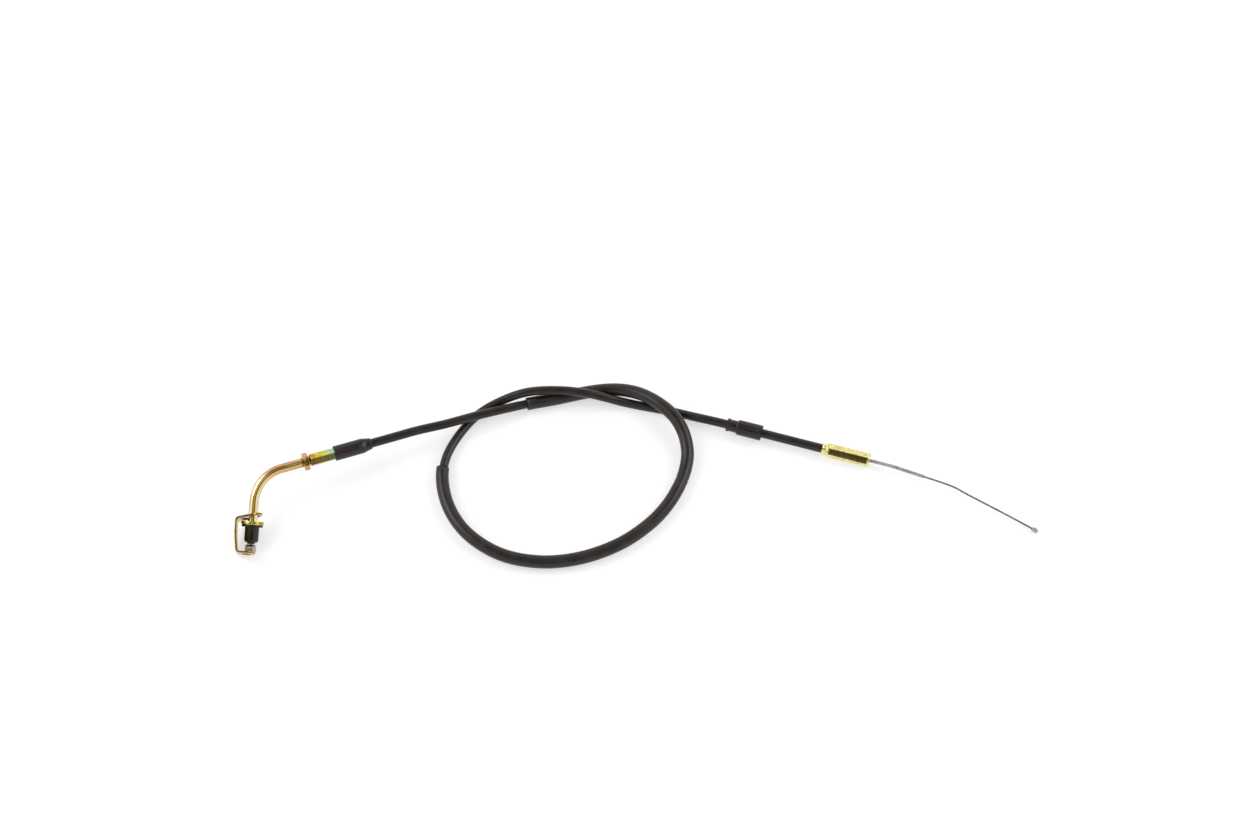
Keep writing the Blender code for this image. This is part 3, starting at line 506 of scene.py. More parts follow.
# %% Liner, die-cast zinc and drawn steel wire
LINER_PLASTIC = finish("milky_liner_plastic", "d9d4d8", 0.30, IOR=1.35, Transmission_Weight=0.55)
liner_place = add_node(LINER_PLASTIC, "ShaderNodeTexCoord", {})
liner_cloud = add_node(LINER_PLASTIC, "ShaderNodeTexNoise", {
    "Vector": liner_place.outputs["Object"], "Scale": per_mm(5.0), "Detail": 3.0,
})
liner_tint = add_node(
    LINER_PLASTIC, "ShaderNodeValToRGB", {"Fac": liner_cloud.outputs["Fac"]},
    stops=[(0.35, "bdb6bc"), (0.65, "dcd9dc")],
)
into_shader(LINER_PLASTIC, liner_tint.outputs["Color"], "Base Color")


def grainy_metal(name, low, high, grain_mm, roughness, relief):
    """Bare metal whose tint, gloss and relief all follow one grain."""
    metal = finish(name, low, roughness[0], metallic=1.0)
    where = add_node(metal, "ShaderNodeTexCoord", {})
    grain = add_node(metal, "ShaderNodeTexNoise", {
        "Vector": where.outputs["Object"], "Scale": per_mm(grain_mm), "Detail": 4.0,
    })
    tint = add_node(
        metal, "ShaderNodeValToRGB", {"Fac": grain.outputs["Fac"]},
        stops=[(0.35, low), (0.65, high)],
    )
    into_shader(metal, tint.outputs["Color"], "Base Color")
    gloss_and_grain(
        metal, grain.outputs["Fac"], (0.3, 0.7), roughness, grain.outputs["Fac"], 0.4, relief)
    return metal


DIE_CAST = grainy_metal("die_cast_zinc", "9c9892", "c6bfb4", 0.8, (0.40, 0.55), 0.05)
WIRE_STEEL = grainy_metal("drawn_steel_wire", "6e5d4b", "9a8c7a", 1.5, (0.30, 0.45), 0.02)
WINDING_STEEL = grainy_metal("spring_steel", "7a7a7a", "a0a0a0", 1.0, (0.30, 0.45), 0.02)
print("materials so far:", len(bpy.data.materials))

# %% [markdown]
# A cord is a curve with a round bevel. One helper adds it, lets it ride on its
# body and hides the plain solid that it stands for. The casing's jacket, its
# steel winding and the sleeve share one route, so they can't drift apart.

# %% A helper for cords
CORD_PITCH = 2.0 * MM


def poly_curve(name, points):
    """Curve data with one line of straight steps through the points."""
    data = bpy.data.curves.new(name, "CURVE")
    data.dimensions = "3D"
    spline = data.splines.new("POLY")
    spline.points.add(len(points) - 1)
    for target, point in zip(spline.points, points):
        target.co = (*point, 1.0)
    return data, spline


def lay_cord(name, points, radius, material, body, node, bore=None, scales=None, rounds=6):
    """Lay a round cord through the points in place of a node, hollow if it has a bore."""
    data, spline = poly_curve(name, points)
    data.bevel_depth = radius
    data.bevel_resolution = rounds
    data.use_fill_caps = bore is None
    for target, scale in zip(spline.points, scales or [1.0] * len(points)):
        target.radius = scale
    spline.use_smooth = True
    data.materials.append(material)
    piece = add_object(name, data)
    if bore is not None:
        wall = piece.modifiers.new("wall", "SOLIDIFY")
        wall.thickness = radius - bore
        wall.offset = -1.0
    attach(piece, body)
    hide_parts(node)
    return piece


print("points along the casing:", round(curve_length(CASING_LINE) / CORD_PITCH) + 1)

# %% [markdown]
# The jacket is extruded over the wound steel, and a wider sleeve is pushed over
# its middle. The low points of the route are lifted until each skin rests on the
# table. The sleeve's right end leans a little, and near its crease every second
# ring is pinched.

# %% The casing: jacket, winding and protective sleeve
JACKET_RADIUS, JACKET_BORE = 2.75 * MM, 2.0 * MM
SLEEVE_RADIUS, SLEEVE_BORE = 4.0 * MM, 3.3 * MM
WINDING_RADIUS, WINDING_BORE = 1.7 * MM, 1.3 * MM
SLEEVE_START, SLEEVE_END = 122.1 * MM, 469.9 * MM
casing_points = stretch(CASING_LINE, CORD_PITCH)
sleeve_points = stretch(CASING_LINE, CORD_PITCH, SLEEVE_START, SLEEVE_END)
SLEEVE_SHIFT, SHIFT_LENGTH = 0.5 * MM, 45.0 * MM
SLEEVE_CLEARANCE = 0.05 * MM
CREASE_POINT = Vector((27.2, 7.2, 4.0)) * MM
CREASE_REACH, CREASE_DEPTH = 7.0 * MM, 0.05
sleeve_scales = []
for i, point in enumerate(sleeve_points):
    station = SLEEVE_START + (SLEEVE_END - SLEEVE_START) * i / (len(sleeve_points) - 1)
    lean = max(0.0, 1.0 - (SLEEVE_END - station) / SHIFT_LENGTH)
    point.x -= SLEEVE_SHIFT * lean * lean * (3.0 - 2.0 * lean)
    point.z = max(point.z, SLEEVE_RADIUS + SLEEVE_CLEARANCE)
    away = (point - CREASE_POINT).length / CREASE_REACH
    sleeve_scales.append(1.0 - CREASE_DEPTH * max(0.0, 1.0 - away) * (i % 2))
for point in casing_points:
    point.z = max(point.z, JACKET_RADIUS)
jacket = lay_cord(
    "jacket", casing_points, JACKET_RADIUS, JACKET_VINYL, "casing",
    "casing_jacket", bore=JACKET_BORE)
sleeve = lay_cord(
    "sleeve", sleeve_points, SLEEVE_RADIUS, SLEEVE_VINYL, "casing",
    "protective_sleeve", bore=SLEEVE_BORE, scales=sleeve_scales)
lay_cord(
    "winding", casing_points, WINDING_RADIUS, WINDING_STEEL, "casing",
    "casing_winding", bore=WINDING_BORE, rounds=3)
print("sleeve length, mm:", round((SLEEVE_END - SLEEVE_START) / MM, 1))

# %% [markdown]
# Only the liner's free end shows, so only that is drawn, from just inside the
# ferrule's tip. The wire inside goes all the way, because the milky liner shows
# it. The bare wire slides back over the last of it, so it is thinner there.

# %% The liner and the wire that it guides
LINER_RADIUS, LINER_BORE, WIRE_RADIUS = 1.05 * MM, 0.85 * MM, 0.6 * MM
LINER_STRAIGHT, LINER_HIDDEN = 19.5 * MM, 8.0 * MM
WIRE_END_INSIDE, SLIDE_ROOM, SLIDE_SCALE = 3.4 * MM, 19.0 * MM, 0.72
liner_bend = LINER_MOUTH - TAIL * LINER_STRAIGHT
liner_knots = [FERRULE_TIP - FERRULE * station * MM for station in (9.0, 4.0, 1.0)]
liner_knots += [liner_bend, liner_bend.lerp(LINER_MOUTH, 0.5), LINER_MOUTH]
liner_line = smooth_curve(liner_knots)
liner_free = stretch(liner_line, CORD_PITCH, LINER_HIDDEN)
liner_end = lay_cord(
    "liner_end", liner_free, LINER_RADIUS, LINER_PLASTIC, "casing",
    "inner_liner", bore=LINER_BORE, rounds=5)
wire_end = curve_length(liner_line) - WIRE_END_INSIDE
wire_line = list(casing_points)
wire_line += stretch(liner_line, CORD_PITCH, 0.0, wire_end)
wire_scales = [
    SLIDE_SCALE if (point - wire_line[-1]).length < SLIDE_ROOM else 1.0 for point in wire_line
]
lay_cord(
    "inner_run", wire_line, WIRE_RADIUS, WIRE_STEEL, "casing", "inner_wire",
    scales=wire_scales, rounds=2)
print("free liner, mm:", round(curve_length(liner_free) / MM, 1))

# %% [markdown]
# The bare wire leaves the liner straight, because that stretch has to slide back
# in, and then sags to the table. Both its ends are hidden, in liner and nipple.

# %% The route of the bare wire
TAIL_ROUTE = [
    (193.6, 1.9, 2.55), (199.1, -1.6, 2.4), (210.7, -8.5, 2.2), (225.2, -17.1, 1.9),
    (238.1, -25.0, 1.5),
]
TAIL_STRAIGHT, TAIL_INSIDE, TAIL_PITCH = 15.5 * MM, 3.0, 1.0 * MM
NIPPLE_LENGTH, NIPPLE_FILLED = 3.6, 0.75
tail_knots = [LINER_MOUTH + TAIL * share * TAIL_STRAIGHT for share in (0.35, 0.75)]
tail_knots += [Vector(point) * MM for point in TAIL_ROUTE]
nipple_start = tail_knots[-1]
nipple_axis = (tail_knots[-1] - tail_knots[-2]).normalized()
tail_knots.append(nipple_start + nipple_axis * (NIPPLE_LENGTH * MM) * NIPPLE_FILLED)
tail_curve = smooth_curve(tail_knots)
tail_line = [LINER_MOUTH - TAIL * TAIL_INSIDE * MM, LINER_MOUTH]
tail_line += stretch(tail_curve, TAIL_PITCH)
tail_line = stretch(tail_line, TAIL_PITCH)
print("bare wire, mm:", round(curve_length(tail_line) / MM, 1))

# %% [markdown]
# The wire is laid from fine strands with a slow twist. One six-lobed profile is
# swept along the route and turned as it goes, which leaves the same grooves as
# six strands would for far fewer faces.

# %% Sweeping a stranded profile
STRANDS, POINTS_A_STRAND = 6, 6
GROOVE_SHARE = 0.14
LAY_LENGTH = 7.0 * MM


def strand_profile(radius):
    """A flat closed curve with one round lobe for each strand."""
    data = bpy.data.curves.new("strand_profile", "CURVE")
    outline = data.splines.new("POLY")
    count = STRANDS * POINTS_A_STRAND
    outline.points.add(count - 1)
    for i, point in enumerate(outline.points):
        angle = math.tau * i / count
        lobe = abs(math.cos(STRANDS * angle / 2.0))
        reach = radius * (1.0 - GROOVE_SHARE + GROOVE_SHARE * lobe)
        point.co = (reach * math.cos(angle), reach * math.sin(angle), 0.0, 1.0)
    outline.use_cyclic_u = True
    return add_object("strand_profile", data)


def lay_wire(name, points, body, node):
    """Sweep the strands along a route, then keep the result as a mesh."""
    profile = strand_profile(WIRE_RADIUS)
    data, spline = poly_curve(name + "_path", points)
    data.bevel_mode = "OBJECT"
    data.bevel_object = profile
    data.use_fill_caps = True
    travelled = 0.0
    before = points[0]
    for target, point in zip(spline.points, points):
        travelled += (point - before).length
        before = point
        target.tilt = math.tau * travelled / LAY_LENGTH
    path = add_object(name + "_path", data)
    view = bpy.context.evaluated_depsgraph_get()
    mesh = bpy.data.meshes.new_from_object(path.evaluated_get(view))
    mesh.name = name
    for spare in (path, profile):
        bpy.data.objects.remove(spare, do_unlink=True)
    mesh.materials.clear()
    mesh.materials.append(WIRE_STEEL)
    mesh.shade_smooth()
    piece = add_object(name, mesh)
    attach(piece, body)
    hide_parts(node)
    return piece


bare_wire = lay_wire("bare_wire", tail_line, "tail_end", "wire_tail")
print("bare wire faces:", len(bare_wire.data.polygons))

# %% [markdown]
# Turned parts come off a lathe, so the script does the same: an outline of
# radius and height is spun about the axis with a full spin and its doubles
# merged. A small bevel on each hard ring then catches the light as metal does.
# These helpers take millimetres, so an outline reads like a drawing.

# %% Turning, milling and placing pieces
def turned(profile, steps=96):
    """Spin a closed outline of (radius, height) about Z."""
    bm = bmesh.new()
    verts = [bm.verts.new((radius * MM, 0.0, height * MM)) for radius, height in profile]
    kept = [i for i in range(len(verts)) if profile[i - 1][0] + profile[i][0] > 0.0]
    edges = [bm.edges.new((verts[i - 1], verts[i])) for i in kept]
    bmesh.ops.spin(
        bm, geom=verts + edges, cent=(0.0, 0.0, 0.0), axis=(0.0, 0.0, 1.0),
        angle=math.tau, steps=steps, use_merge=True,
    )
    bmesh.ops.remove_doubles(bm, verts=bm.verts, dist=1e-7)
    bmesh.ops.recalc_face_normals(bm, faces=bm.faces)
    return bm


def tube_outline(bore, radius, low, high):
    """Outline of a plain tube, or of a bar where the bore is nothing."""
    return [(bore, low), (radius, low), (radius, high), (bore, high)]


def mill_flats(bm, across_flats, turn):
    """Cut six flats round a turned blank, as on bar stock, and close each cut."""
    for i in range(6):
        angle = turn + math.radians(60.0) * (i + 0.5)
        outward = Vector((math.cos(angle), math.sin(angle), 0.0))
        cut = bmesh.ops.bisect_plane(
            bm, geom=bm.verts[:] + bm.edges[:] + bm.faces[:], dist=1e-7,
            plane_co=outward * across_flats / 2.0 * MM, plane_no=outward, clear_outer=True,
        )
        rim = [e for e in cut["geom_cut"] if isinstance(e, bmesh.types.BMEdge)]
        bmesh.ops.edgeloop_fill(bm, edges=rim)
    bmesh.ops.recalc_face_normals(bm, faces=bm.faces)
    return bm


def soften(bm, offset, segments=2, angle=28.0, rim=-1):
    """Round every edge sharper than the angle; rim is the rounding's material index."""
    sharp = [
        e for e in bm.edges
        if len(e.link_faces) == 2 and e.calc_face_angle(0.0) > math.radians(angle)
    ]
    bmesh.ops.bevel(
        bm, geom=sharp, offset=offset * MM, segments=segments, profile=0.5, affect="EDGES",
        material=rim, clamp_overlap=True,
    )
    return bm


def dent(bm, centre, reach, depth):
    """Press the skin round a point towards the axis, deepest at the point itself."""
    for vert in bm.verts:
        near = 1.0 - (vert.co / MM - centre).length / reach
        if near > 0.0:
            radial = Vector((vert.co.x, vert.co.y, 0.0))
            vert.co -= radial.normalized() * depth * MM * near * near * (3.0 - 2.0 * near)
    return bm


def towards_camera(at):
    """Angle about a frame's axis from which the camera looks at it."""
    seen = at.to_3x3().inverted() @ (CAMERA_PLACE - at.translation)
    return math.atan2(seen.y, seen.x)


def place(name, bm, at, material, body, slot, node=None, edge=None):
    """Put a finished bmesh in its place, with a second material on some pieces' edges."""
    bm.transform(at)
    mesh = bpy.data.meshes.new(name)
    bm.to_mesh(mesh)
    bm.free()
    mesh.shade_smooth()
    mesh.set_sharp_from_angle(angle=math.radians(30.0))
    mesh.materials.append(material)
    if edge:
        mesh.materials.append(edge)
    piece = add_object(name, mesh)
    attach(piece, body)
    if node:
        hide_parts(node)
    print(name, len(mesh.polygons), "faces")
    return piece


# Radii of the holes, each a little wider than what passes through it.
TUBE_HOLE, THREAD_HOLE, CASING_HOLE, LINER_HOLE, WIRE_HOLE = 3.15, 2.9, 3.05, 1.35, 0.9
print("widest hole, mm:", 2.0 * TUBE_HOLE)

# %% [markdown]
# The elbow is a steel tube bent round a former. A curve with a bevel makes its
# even skin, with the UV map that its streaks need. The screw thread is a V
# profile spun with a rise at each step.

# %% The elbow tube and its thread
ELBOW_BORE = 1.6
ELBOW_BEND, ELBOW_LEG_END = 22.0 * MM, 39.1 * MM
THREAD_START, THREAD_END, THREAD_PITCH = 28.6 * MM, 46.4 * MM, 0.8 * MM
THREAD_ROOT, THREAD_CREST, CORE_RADIUS = 2.3, 2.6, 2.35
STEPS_A_TURN = 32


def elbow_arc(steps):
    """Centreline of the bend, from the leg to the adjuster's side."""
    turn = math.pi - LEG.angle(ADJUSTER)
    tangent = ELBOW_BEND * math.tan(turn / 2.0)
    inward = (ADJUSTER - LEG * ADJUSTER.dot(LEG)).normalized()
    centre = CORNER + LEG * tangent + inward * ELBOW_BEND
    first = CORNER + LEG * tangent - centre
    last = CORNER + ADJUSTER * tangent - centre
    spin_axis = first.cross(last).normalized()
    return [
        centre + Matrix.Rotation(turn * i / steps, 3, spin_axis) @ first for i in range(steps + 1)
    ]


elbow_line = [CORNER + LEG * ELBOW_LEG_END] + elbow_arc(28)
elbow_line += [CORNER + ADJUSTER * THREAD_START]
elbow_line = stretch(elbow_line, 1.0 * MM)
lay_cord(
    "elbow", elbow_line, ELBOW_RADIUS, TUBE_ZINC, "casing", "elbow_tube",
    bore=ELBOW_BORE * MM, rounds=14)

thread_bm = bmesh.new()
root, crest = THREAD_ROOT * MM, THREAD_CREST * MM
ridge = [(root, 0.0), (crest, THREAD_PITCH * 0.5), (root, THREAD_PITCH)]
ridge_verts = [thread_bm.verts.new((r, 0.0, h)) for r, h in ridge]
ridge_edges = [thread_bm.edges.new(pair) for pair in zip(ridge_verts, ridge_verts[1:])]
turns = int((THREAD_END - THREAD_START) / THREAD_PITCH) - 1
bmesh.ops.spin(
    thread_bm, geom=ridge_verts + ridge_edges, cent=(0.0, 0.0, 0.0), axis=(0.0, 0.0, 1.0),
    dvec=(0.0, 0.0, THREAD_PITCH / STEPS_A_TURN), angle=math.tau * turns,
    steps=STEPS_A_TURN * turns,
)
bmesh.ops.remove_doubles(thread_bm, verts=thread_bm.verts, dist=1e-6)
bmesh.ops.recalc_face_normals(thread_bm, faces=thread_bm.faces)
core_length = (THREAD_END - THREAD_START) / MM
core = turned(tube_outline(ELBOW_BORE, CORE_RADIUS, 0.0, core_length), 48)
core_mesh = bpy.data.meshes.new("thread_core")
core.to_mesh(core_mesh)
core.free()
thread_bm.from_mesh(core_mesh)
bpy.data.meshes.remove(core_mesh)
place(
    "elbow_thread", thread_bm, ADJUSTER_FRAME @ Matrix.Translation((0.0, 0.0, THREAD_START)),
    NUT_ZINC, "casing", "yellow_zinc_plate")

# %% [markdown]
# The flange seats the elbow in the twist grip's housing. The moulded nose below
# it has a rim that reaches up to the flange, and its shoulder rounds off to a
# neck round the wire.

# %% The seat flange and the black nose below it
FLANGE_TOP = 27.55
FLANGE_THICKNESS = 2.0
NOSE_START = FLANGE_TOP + FLANGE_THICKNESS + 0.3
NOSE_LENGTH = 11.25
NOSE_END = NOSE_START + NOSE_LENGTH
FLANGE_RADIUS, NOSE_RIM_RADIUS, NOSE_RADIUS, NECK_RADIUS = 6.75, 6.3, 4.3, 2.3
flange = soften(turned(tube_outline(
    TUBE_HOLE, FLANGE_RADIUS, FLANGE_TOP, FLANGE_TOP + FLANGE_THICKNESS)), 0.35, 3)
place("flange", flange, LEG_FRAME, FLANGE_ZINC, "casing", "yellow_zinc_plate", "seat_flange")

NOSE_SHOULDER = 1.9
nose_rim = NOSE_START + 1.1
nose_neck = NOSE_END - 0.7
nose_shoulder = nose_neck - NOSE_SHOULDER
nose_top = FLANGE_TOP + FLANGE_THICKNESS + 0.02
nose_outline = [
    (TUBE_HOLE, nose_top), (NOSE_RIM_RADIUS, nose_top), (NOSE_RIM_RADIUS, nose_rim),
    (NOSE_RADIUS, nose_rim), (NOSE_RADIUS, nose_shoulder),
]
for i in range(1, 7):
    angle = math.radians(15.0 * i)
    nose_outline.append((
        NECK_RADIUS + (NOSE_RADIUS - NECK_RADIUS) * math.cos(angle),
        nose_shoulder + NOSE_SHOULDER * math.sin(angle),
    ))
nose_outline += [
    (NECK_RADIUS, NOSE_END), (WIRE_HOLE, NOSE_END), (WIRE_HOLE, nose_shoulder + 0.9),
    (TUBE_HOLE, nose_shoulder + 0.9),
]
nose = soften(turned(nose_outline), 0.15, 2)
place("nose", nose, LEG_FRAME, NOSE_NYLON, "casing", "black_nylon", "nose_sleeve")

# %% [markdown]
# The barrel nipple lies across the wire, where the twist grip's drum holds it.
# Here it is turned a few degrees, as in the photograph.

# %% The barrel across the grip end of the wire
BARREL_RADIUS, BARREL_HALF_LENGTH = 2.9, 2.8
BARREL_STATION = NOSE_END + 0.3 + BARREL_RADIUS
barrel_across = Matrix.Rotation(math.radians(5.0), 3, LEG) @ LEG_FRAME.col[0].to_3d()
barrel = soften(turned(tube_outline(
    0.0, BARREL_RADIUS, -BARREL_HALF_LENGTH, BARREL_HALF_LENGTH)), 0.45, 3)
place(
    "barrel", barrel, axis_frame(CORNER + LEG * BARREL_STATION * MM, barrel_across, LEG),
    DIE_CAST, "grip_end", "die_cast_zinc", "grip_nipple")
GRIP_WIRE_START, GRIP_WIRE_POINTS = 13.0, 34
grip_line = [CORNER + LEG * (GRIP_WIRE_START + i) * MM for i in range(GRIP_WIRE_POINTS)]
lay_wire("grip_wire", grip_line, "grip_end", "wire_grip_end")

# %% [markdown]
# The small nipple is soldered on the wire's other end, for the carburettor. It
# is a short bar along the wire, not across it.

# %% The small soldered nipple
NIPPLE_RADIUS = 1.35
nipple = soften(turned(tube_outline(0.0, NIPPLE_RADIUS, 0.0, NIPPLE_LENGTH), 48), 0.25, 3)
nipple_piece = place(
    "nipple", nipple, axis_frame(nipple_start, nipple_axis), DIE_CAST, "tail_end",
    "die_cast_zinc", "carburettor_nipple")

# %% [markdown]
# Three stretches lie free: the casing, the liner's end and the bare wire. The
# sleeve and the small nipple go with the cords they sit on.

# %% [markdown]
# The locknut, the adjuster and the ferrule start as round bar with chamfered
# ends. Milling six flats into the bar leaves the curved lines at the corners
# that a real nut shows and a plain prism never has.

# %% The locknut and the long adjuster
nut_low, nut_high = 29.1, 32.4
nut_corner = NUT_FLATS / math.sqrt(3.0)
nut = mill_flats(turned([
    (THREAD_HOLE, nut_low + 0.3), (3.2, nut_low), (nut_corner - 0.55, nut_low),
    (nut_corner + 0.05, nut_low + 0.45), (nut_corner + 0.05, nut_high - 0.45),
    (nut_corner - 0.55, nut_high), (3.2, nut_high), (THREAD_HOLE, nut_high - 0.3),
]), NUT_FLATS, math.radians(28.0))
place(
    "nut", soften(nut, 0.16, rim=1), ADJUSTER_FRAME, NUT_ZINC, "locknut",
    "yellow_zinc_plate", "locknut", RIM_ZINC)

bar_low, bar_high = 33.4, 50.6
shank_end, socket_floor, web = 57.1, 49.4, 47.4
SHANK_RADIUS = 3.4
bar_corner = BAR_FLATS / math.sqrt(3.0)
adjuster = mill_flats(turned([
    (THREAD_HOLE, bar_low + 0.3), (3.1, bar_low), (bar_corner - 0.5, bar_low),
    (bar_corner + 0.05, bar_low + 0.5), (bar_corner + 0.05, bar_high - 0.5),
    (SHANK_RADIUS, bar_high), (SHANK_RADIUS, shank_end), (CASING_HOLE, shank_end),
    (CASING_HOLE, socket_floor), (1.4, socket_floor), (1.4, web), (THREAD_HOLE, web),
]), BAR_FLATS, math.radians(51.0))
place(
    "adjuster", soften(adjuster, 0.18, rim=1), ADJUSTER_FRAME, ADJUSTER_ZINC, "adjuster",
    "yellow_zinc_plate", "cable_adjuster", RIM_ZINC)

# %% [markdown]
# The boot keeps water out of the adjuster. It is a straight cup with a tapered
# tail, and the photograph shows a dimple in the taper, so the skin is pushed in
# there on the camera's side.

# %% The rubber boot over the adjuster's end
boot_low, boot_high = 48.75, 71.85
boot_taper = boot_high - 5.8
boot = soften(turned([
    (4.2, boot_low), (4.6, boot_low), (4.6, boot_taper),
    (4.42, boot_taper + 0.8), (4.25, boot_taper + 1.6),
    (4.05, boot_taper + 2.5), (3.85, boot_taper + 3.4),
    (3.5, boot_taper + 5.0), (3.4, boot_high), (CASING_HOLE, boot_high),
    (CASING_HOLE, 59.1), (3.8, 58.1), (3.8, 51.6), (4.2, 50.9),
]), 0.25, 2, 20.0)
side = towards_camera(ADJUSTER_FRAME)
DIMPLE_RADIUS, DIMPLE_STATION = 4.3, 68.2
dimple = Vector((DIMPLE_RADIUS * math.cos(side), DIMPLE_RADIUS * math.sin(side), DIMPLE_STATION))
dent(boot, dimple, 2.6, 0.45)
place(
    "boot", boot, ADJUSTER_FRAME, BOOT_RUBBER, "adjuster_boot", "black_rubber", "adjuster_boot")

# %% [markdown]
# The dust boot is a loose cap that slides along the casing. Its wide cup faces
# the ferrule, and its neck ends in a lip.

# %% The dust boot on the casing
cap_low, cap_high = 68.1, 90.1
cap_cup = cap_low + 15.4
cap = soften(turned([
    (4.25, cap_low), (4.75, cap_low), (4.75, cap_cup - 0.6),
    (4.3, cap_cup), (3.75, cap_cup + 0.5), (3.7, cap_high - 2.2),
    (4.15, cap_high - 0.9), (4.15, cap_high), (CASING_HOLE, cap_high),
    (CASING_HOLE, cap_cup - 1.2), (4.25, cap_cup - 1.6),
]), 0.22, 2, 20.0)
place("cap", cap, FERRULE_FRAME, BOOT_RUBBER, "dust_boot", "black_rubber", "dust_boot")

# %% [markdown]
# The ferrule is a long hexagon, and its collar is crimped on the casing, which
# leaves a ring of shallow marks.

# %% The hex ferrule with its crimped collar
hex_high, collar_high, ferrule_floor = 26.8, 30.0, 18.0
CRIMPS, CRIMP_RADIUS, CRIMP_STATION = 8, 3.5, 28.2
hex_corner = FERRULE_FLATS / math.sqrt(3.0)
ferrule = mill_flats(turned([
    (LINER_HOLE, 0.0), (hex_corner - 0.9, 0.0), (hex_corner - 0.35, 0.3),
    (hex_corner + 0.05, 1.1), (hex_corner + 0.05, hex_high - 0.7),
    (3.75, hex_high), (3.5, hex_high + 0.5), (3.48, hex_high + 1.1),
    (3.48, collar_high - 1.4), (3.55, collar_high - 0.8),
    (3.7, collar_high - 0.4), (3.7, collar_high), (CASING_HOLE, collar_high),
    (CASING_HOLE, ferrule_floor), (LINER_HOLE, ferrule_floor),
]), FERRULE_FLATS, math.radians(20.4))
side = towards_camera(FERRULE_FRAME)
for i in range(CRIMPS):
    angle = side + math.radians(20.0 + 360.0 / CRIMPS * i)
    mark = Vector((CRIMP_RADIUS * math.cos(angle), CRIMP_RADIUS * math.sin(angle), CRIMP_STATION))
    dent(ferrule, mark, 1.05, 0.35)
place(
    "ferrule", soften(ferrule, 0.34, 3, rim=1), FERRULE_FRAME, FERRULE_ZINC, "casing",
    "yellow_zinc_plate", "hex_ferrule", RIM_ZINC)

# %% [markdown]
# The bracket is one stamped strip, folded twice: a ring ear round the tube and a
# lug ear for the screw. Its ears splay a little, so each has its own slope. The
# folds and the strip between them come first, as rows of points across the sheet.

# %% The bracket's place, its folds and its strip
BRACKET_REACH, BRACKET_HEIGHT, BRACKET_BEND = 8.4, 23.0, 2.2
RING_RADIUS, RING_HOLE = 7.25, 5.1
LUG_RADIUS, LUG_HOLE = 5.0, 2.65
LUG_REACH, LUG_OFFSET = 5.5, 6.2
STRIP_LOW_EDGE, BRACKET_BOW = -6.0, 0.4
RING_SPLAY, LUG_SPLAY = math.radians(9.2), math.radians(5.0)
FOLD_STEPS, STRIP_COLUMNS, STRIP_ROWS, EAR_STEPS = 8, 8, 8, 36


def bracket_frame():
    """The bracket hangs loosely on the leg, tilted three ways."""
    across, over, along = (LEG_FRAME.col[i].to_3d() for i in range(3))
    hub = CORNER + (along * 24.75 - over * 0.6 - across * 1.5) * MM
    tilt = Matrix.Rotation(math.radians(-8.8), 3, across)
    over, along = tilt @ over, tilt @ along
    lean = Matrix.Rotation(math.radians(7.4), 3, over)
    across, along = lean @ across, lean @ along
    roll = Matrix.Rotation(math.radians(-7.3), 3, along)
    placed = Matrix((roll @ across, roll @ over, along)).transposed().to_4x4()
    placed.translation = hub
    return placed


wall_x = -BRACKET_REACH
turn_x = wall_x + BRACKET_BEND
lug_x = wall_x + LUG_REACH
ring_turn = (BRACKET_BEND - turn_x * math.sin(RING_SPLAY)) / math.cos(RING_SPLAY)
lug_turn = BRACKET_HEIGHT
lug_turn += ((turn_x - lug_x) * math.sin(LUG_SPLAY) - BRACKET_BEND) / math.cos(LUG_SPLAY)
sheet = bmesh.new()


def rail(x, height, low, high):
    """One row of points across the sheet."""
    steps = [low + (high - low) * i / STRIP_COLUMNS for i in range(STRIP_COLUMNS + 1)]
    return [sheet.verts.new((x * MM, y * MM, height * MM)) for y in steps]


rails = []
for i in range(FOLD_STEPS + 1):
    angle = RING_SPLAY + (math.pi / 2.0 - RING_SPLAY) * i / FOLD_STEPS
    rails.append(rail(
        turn_x - BRACKET_BEND * math.sin(angle), ring_turn - BRACKET_BEND * math.cos(angle),
        -RING_RADIUS, RING_RADIUS,
    ))
for i in range(1, STRIP_ROWS):
    share = i / STRIP_ROWS
    rails.append(rail(
        wall_x - BRACKET_BOW * math.sin(math.pi * share),
        ring_turn + (lug_turn - ring_turn) * share,
        -RING_RADIUS + (STRIP_LOW_EDGE + RING_RADIUS) * share,
        RING_RADIUS + (LUG_OFFSET + LUG_RADIUS - RING_RADIUS) * share,
    ))
for i in range(FOLD_STEPS + 1):
    share = i / FOLD_STEPS
    angle = math.pi / 2.0 + (LUG_SPLAY - math.pi / 2.0) * share
    low = STRIP_LOW_EDGE + (LUG_OFFSET - LUG_RADIUS - STRIP_LOW_EDGE) * share
    rails.append(rail(
        turn_x - BRACKET_BEND * math.sin(angle), lug_turn + BRACKET_BEND * math.cos(angle),
        low, LUG_OFFSET + LUG_RADIUS,
    ))
for upper, lower in zip(rails, rails[1:]):
    for j in range(STRIP_COLUMNS):
        sheet.faces.new((upper[j], upper[j + 1], lower[j + 1], lower[j]))
print("rows across the sheet:", len(rails))

# %% [markdown]
# Each ear is a ring of faces between its outline and its round hole. The sheet
# is one skin up to here. Solidify gives it the wall, with darker sheared metal
# on its edges.

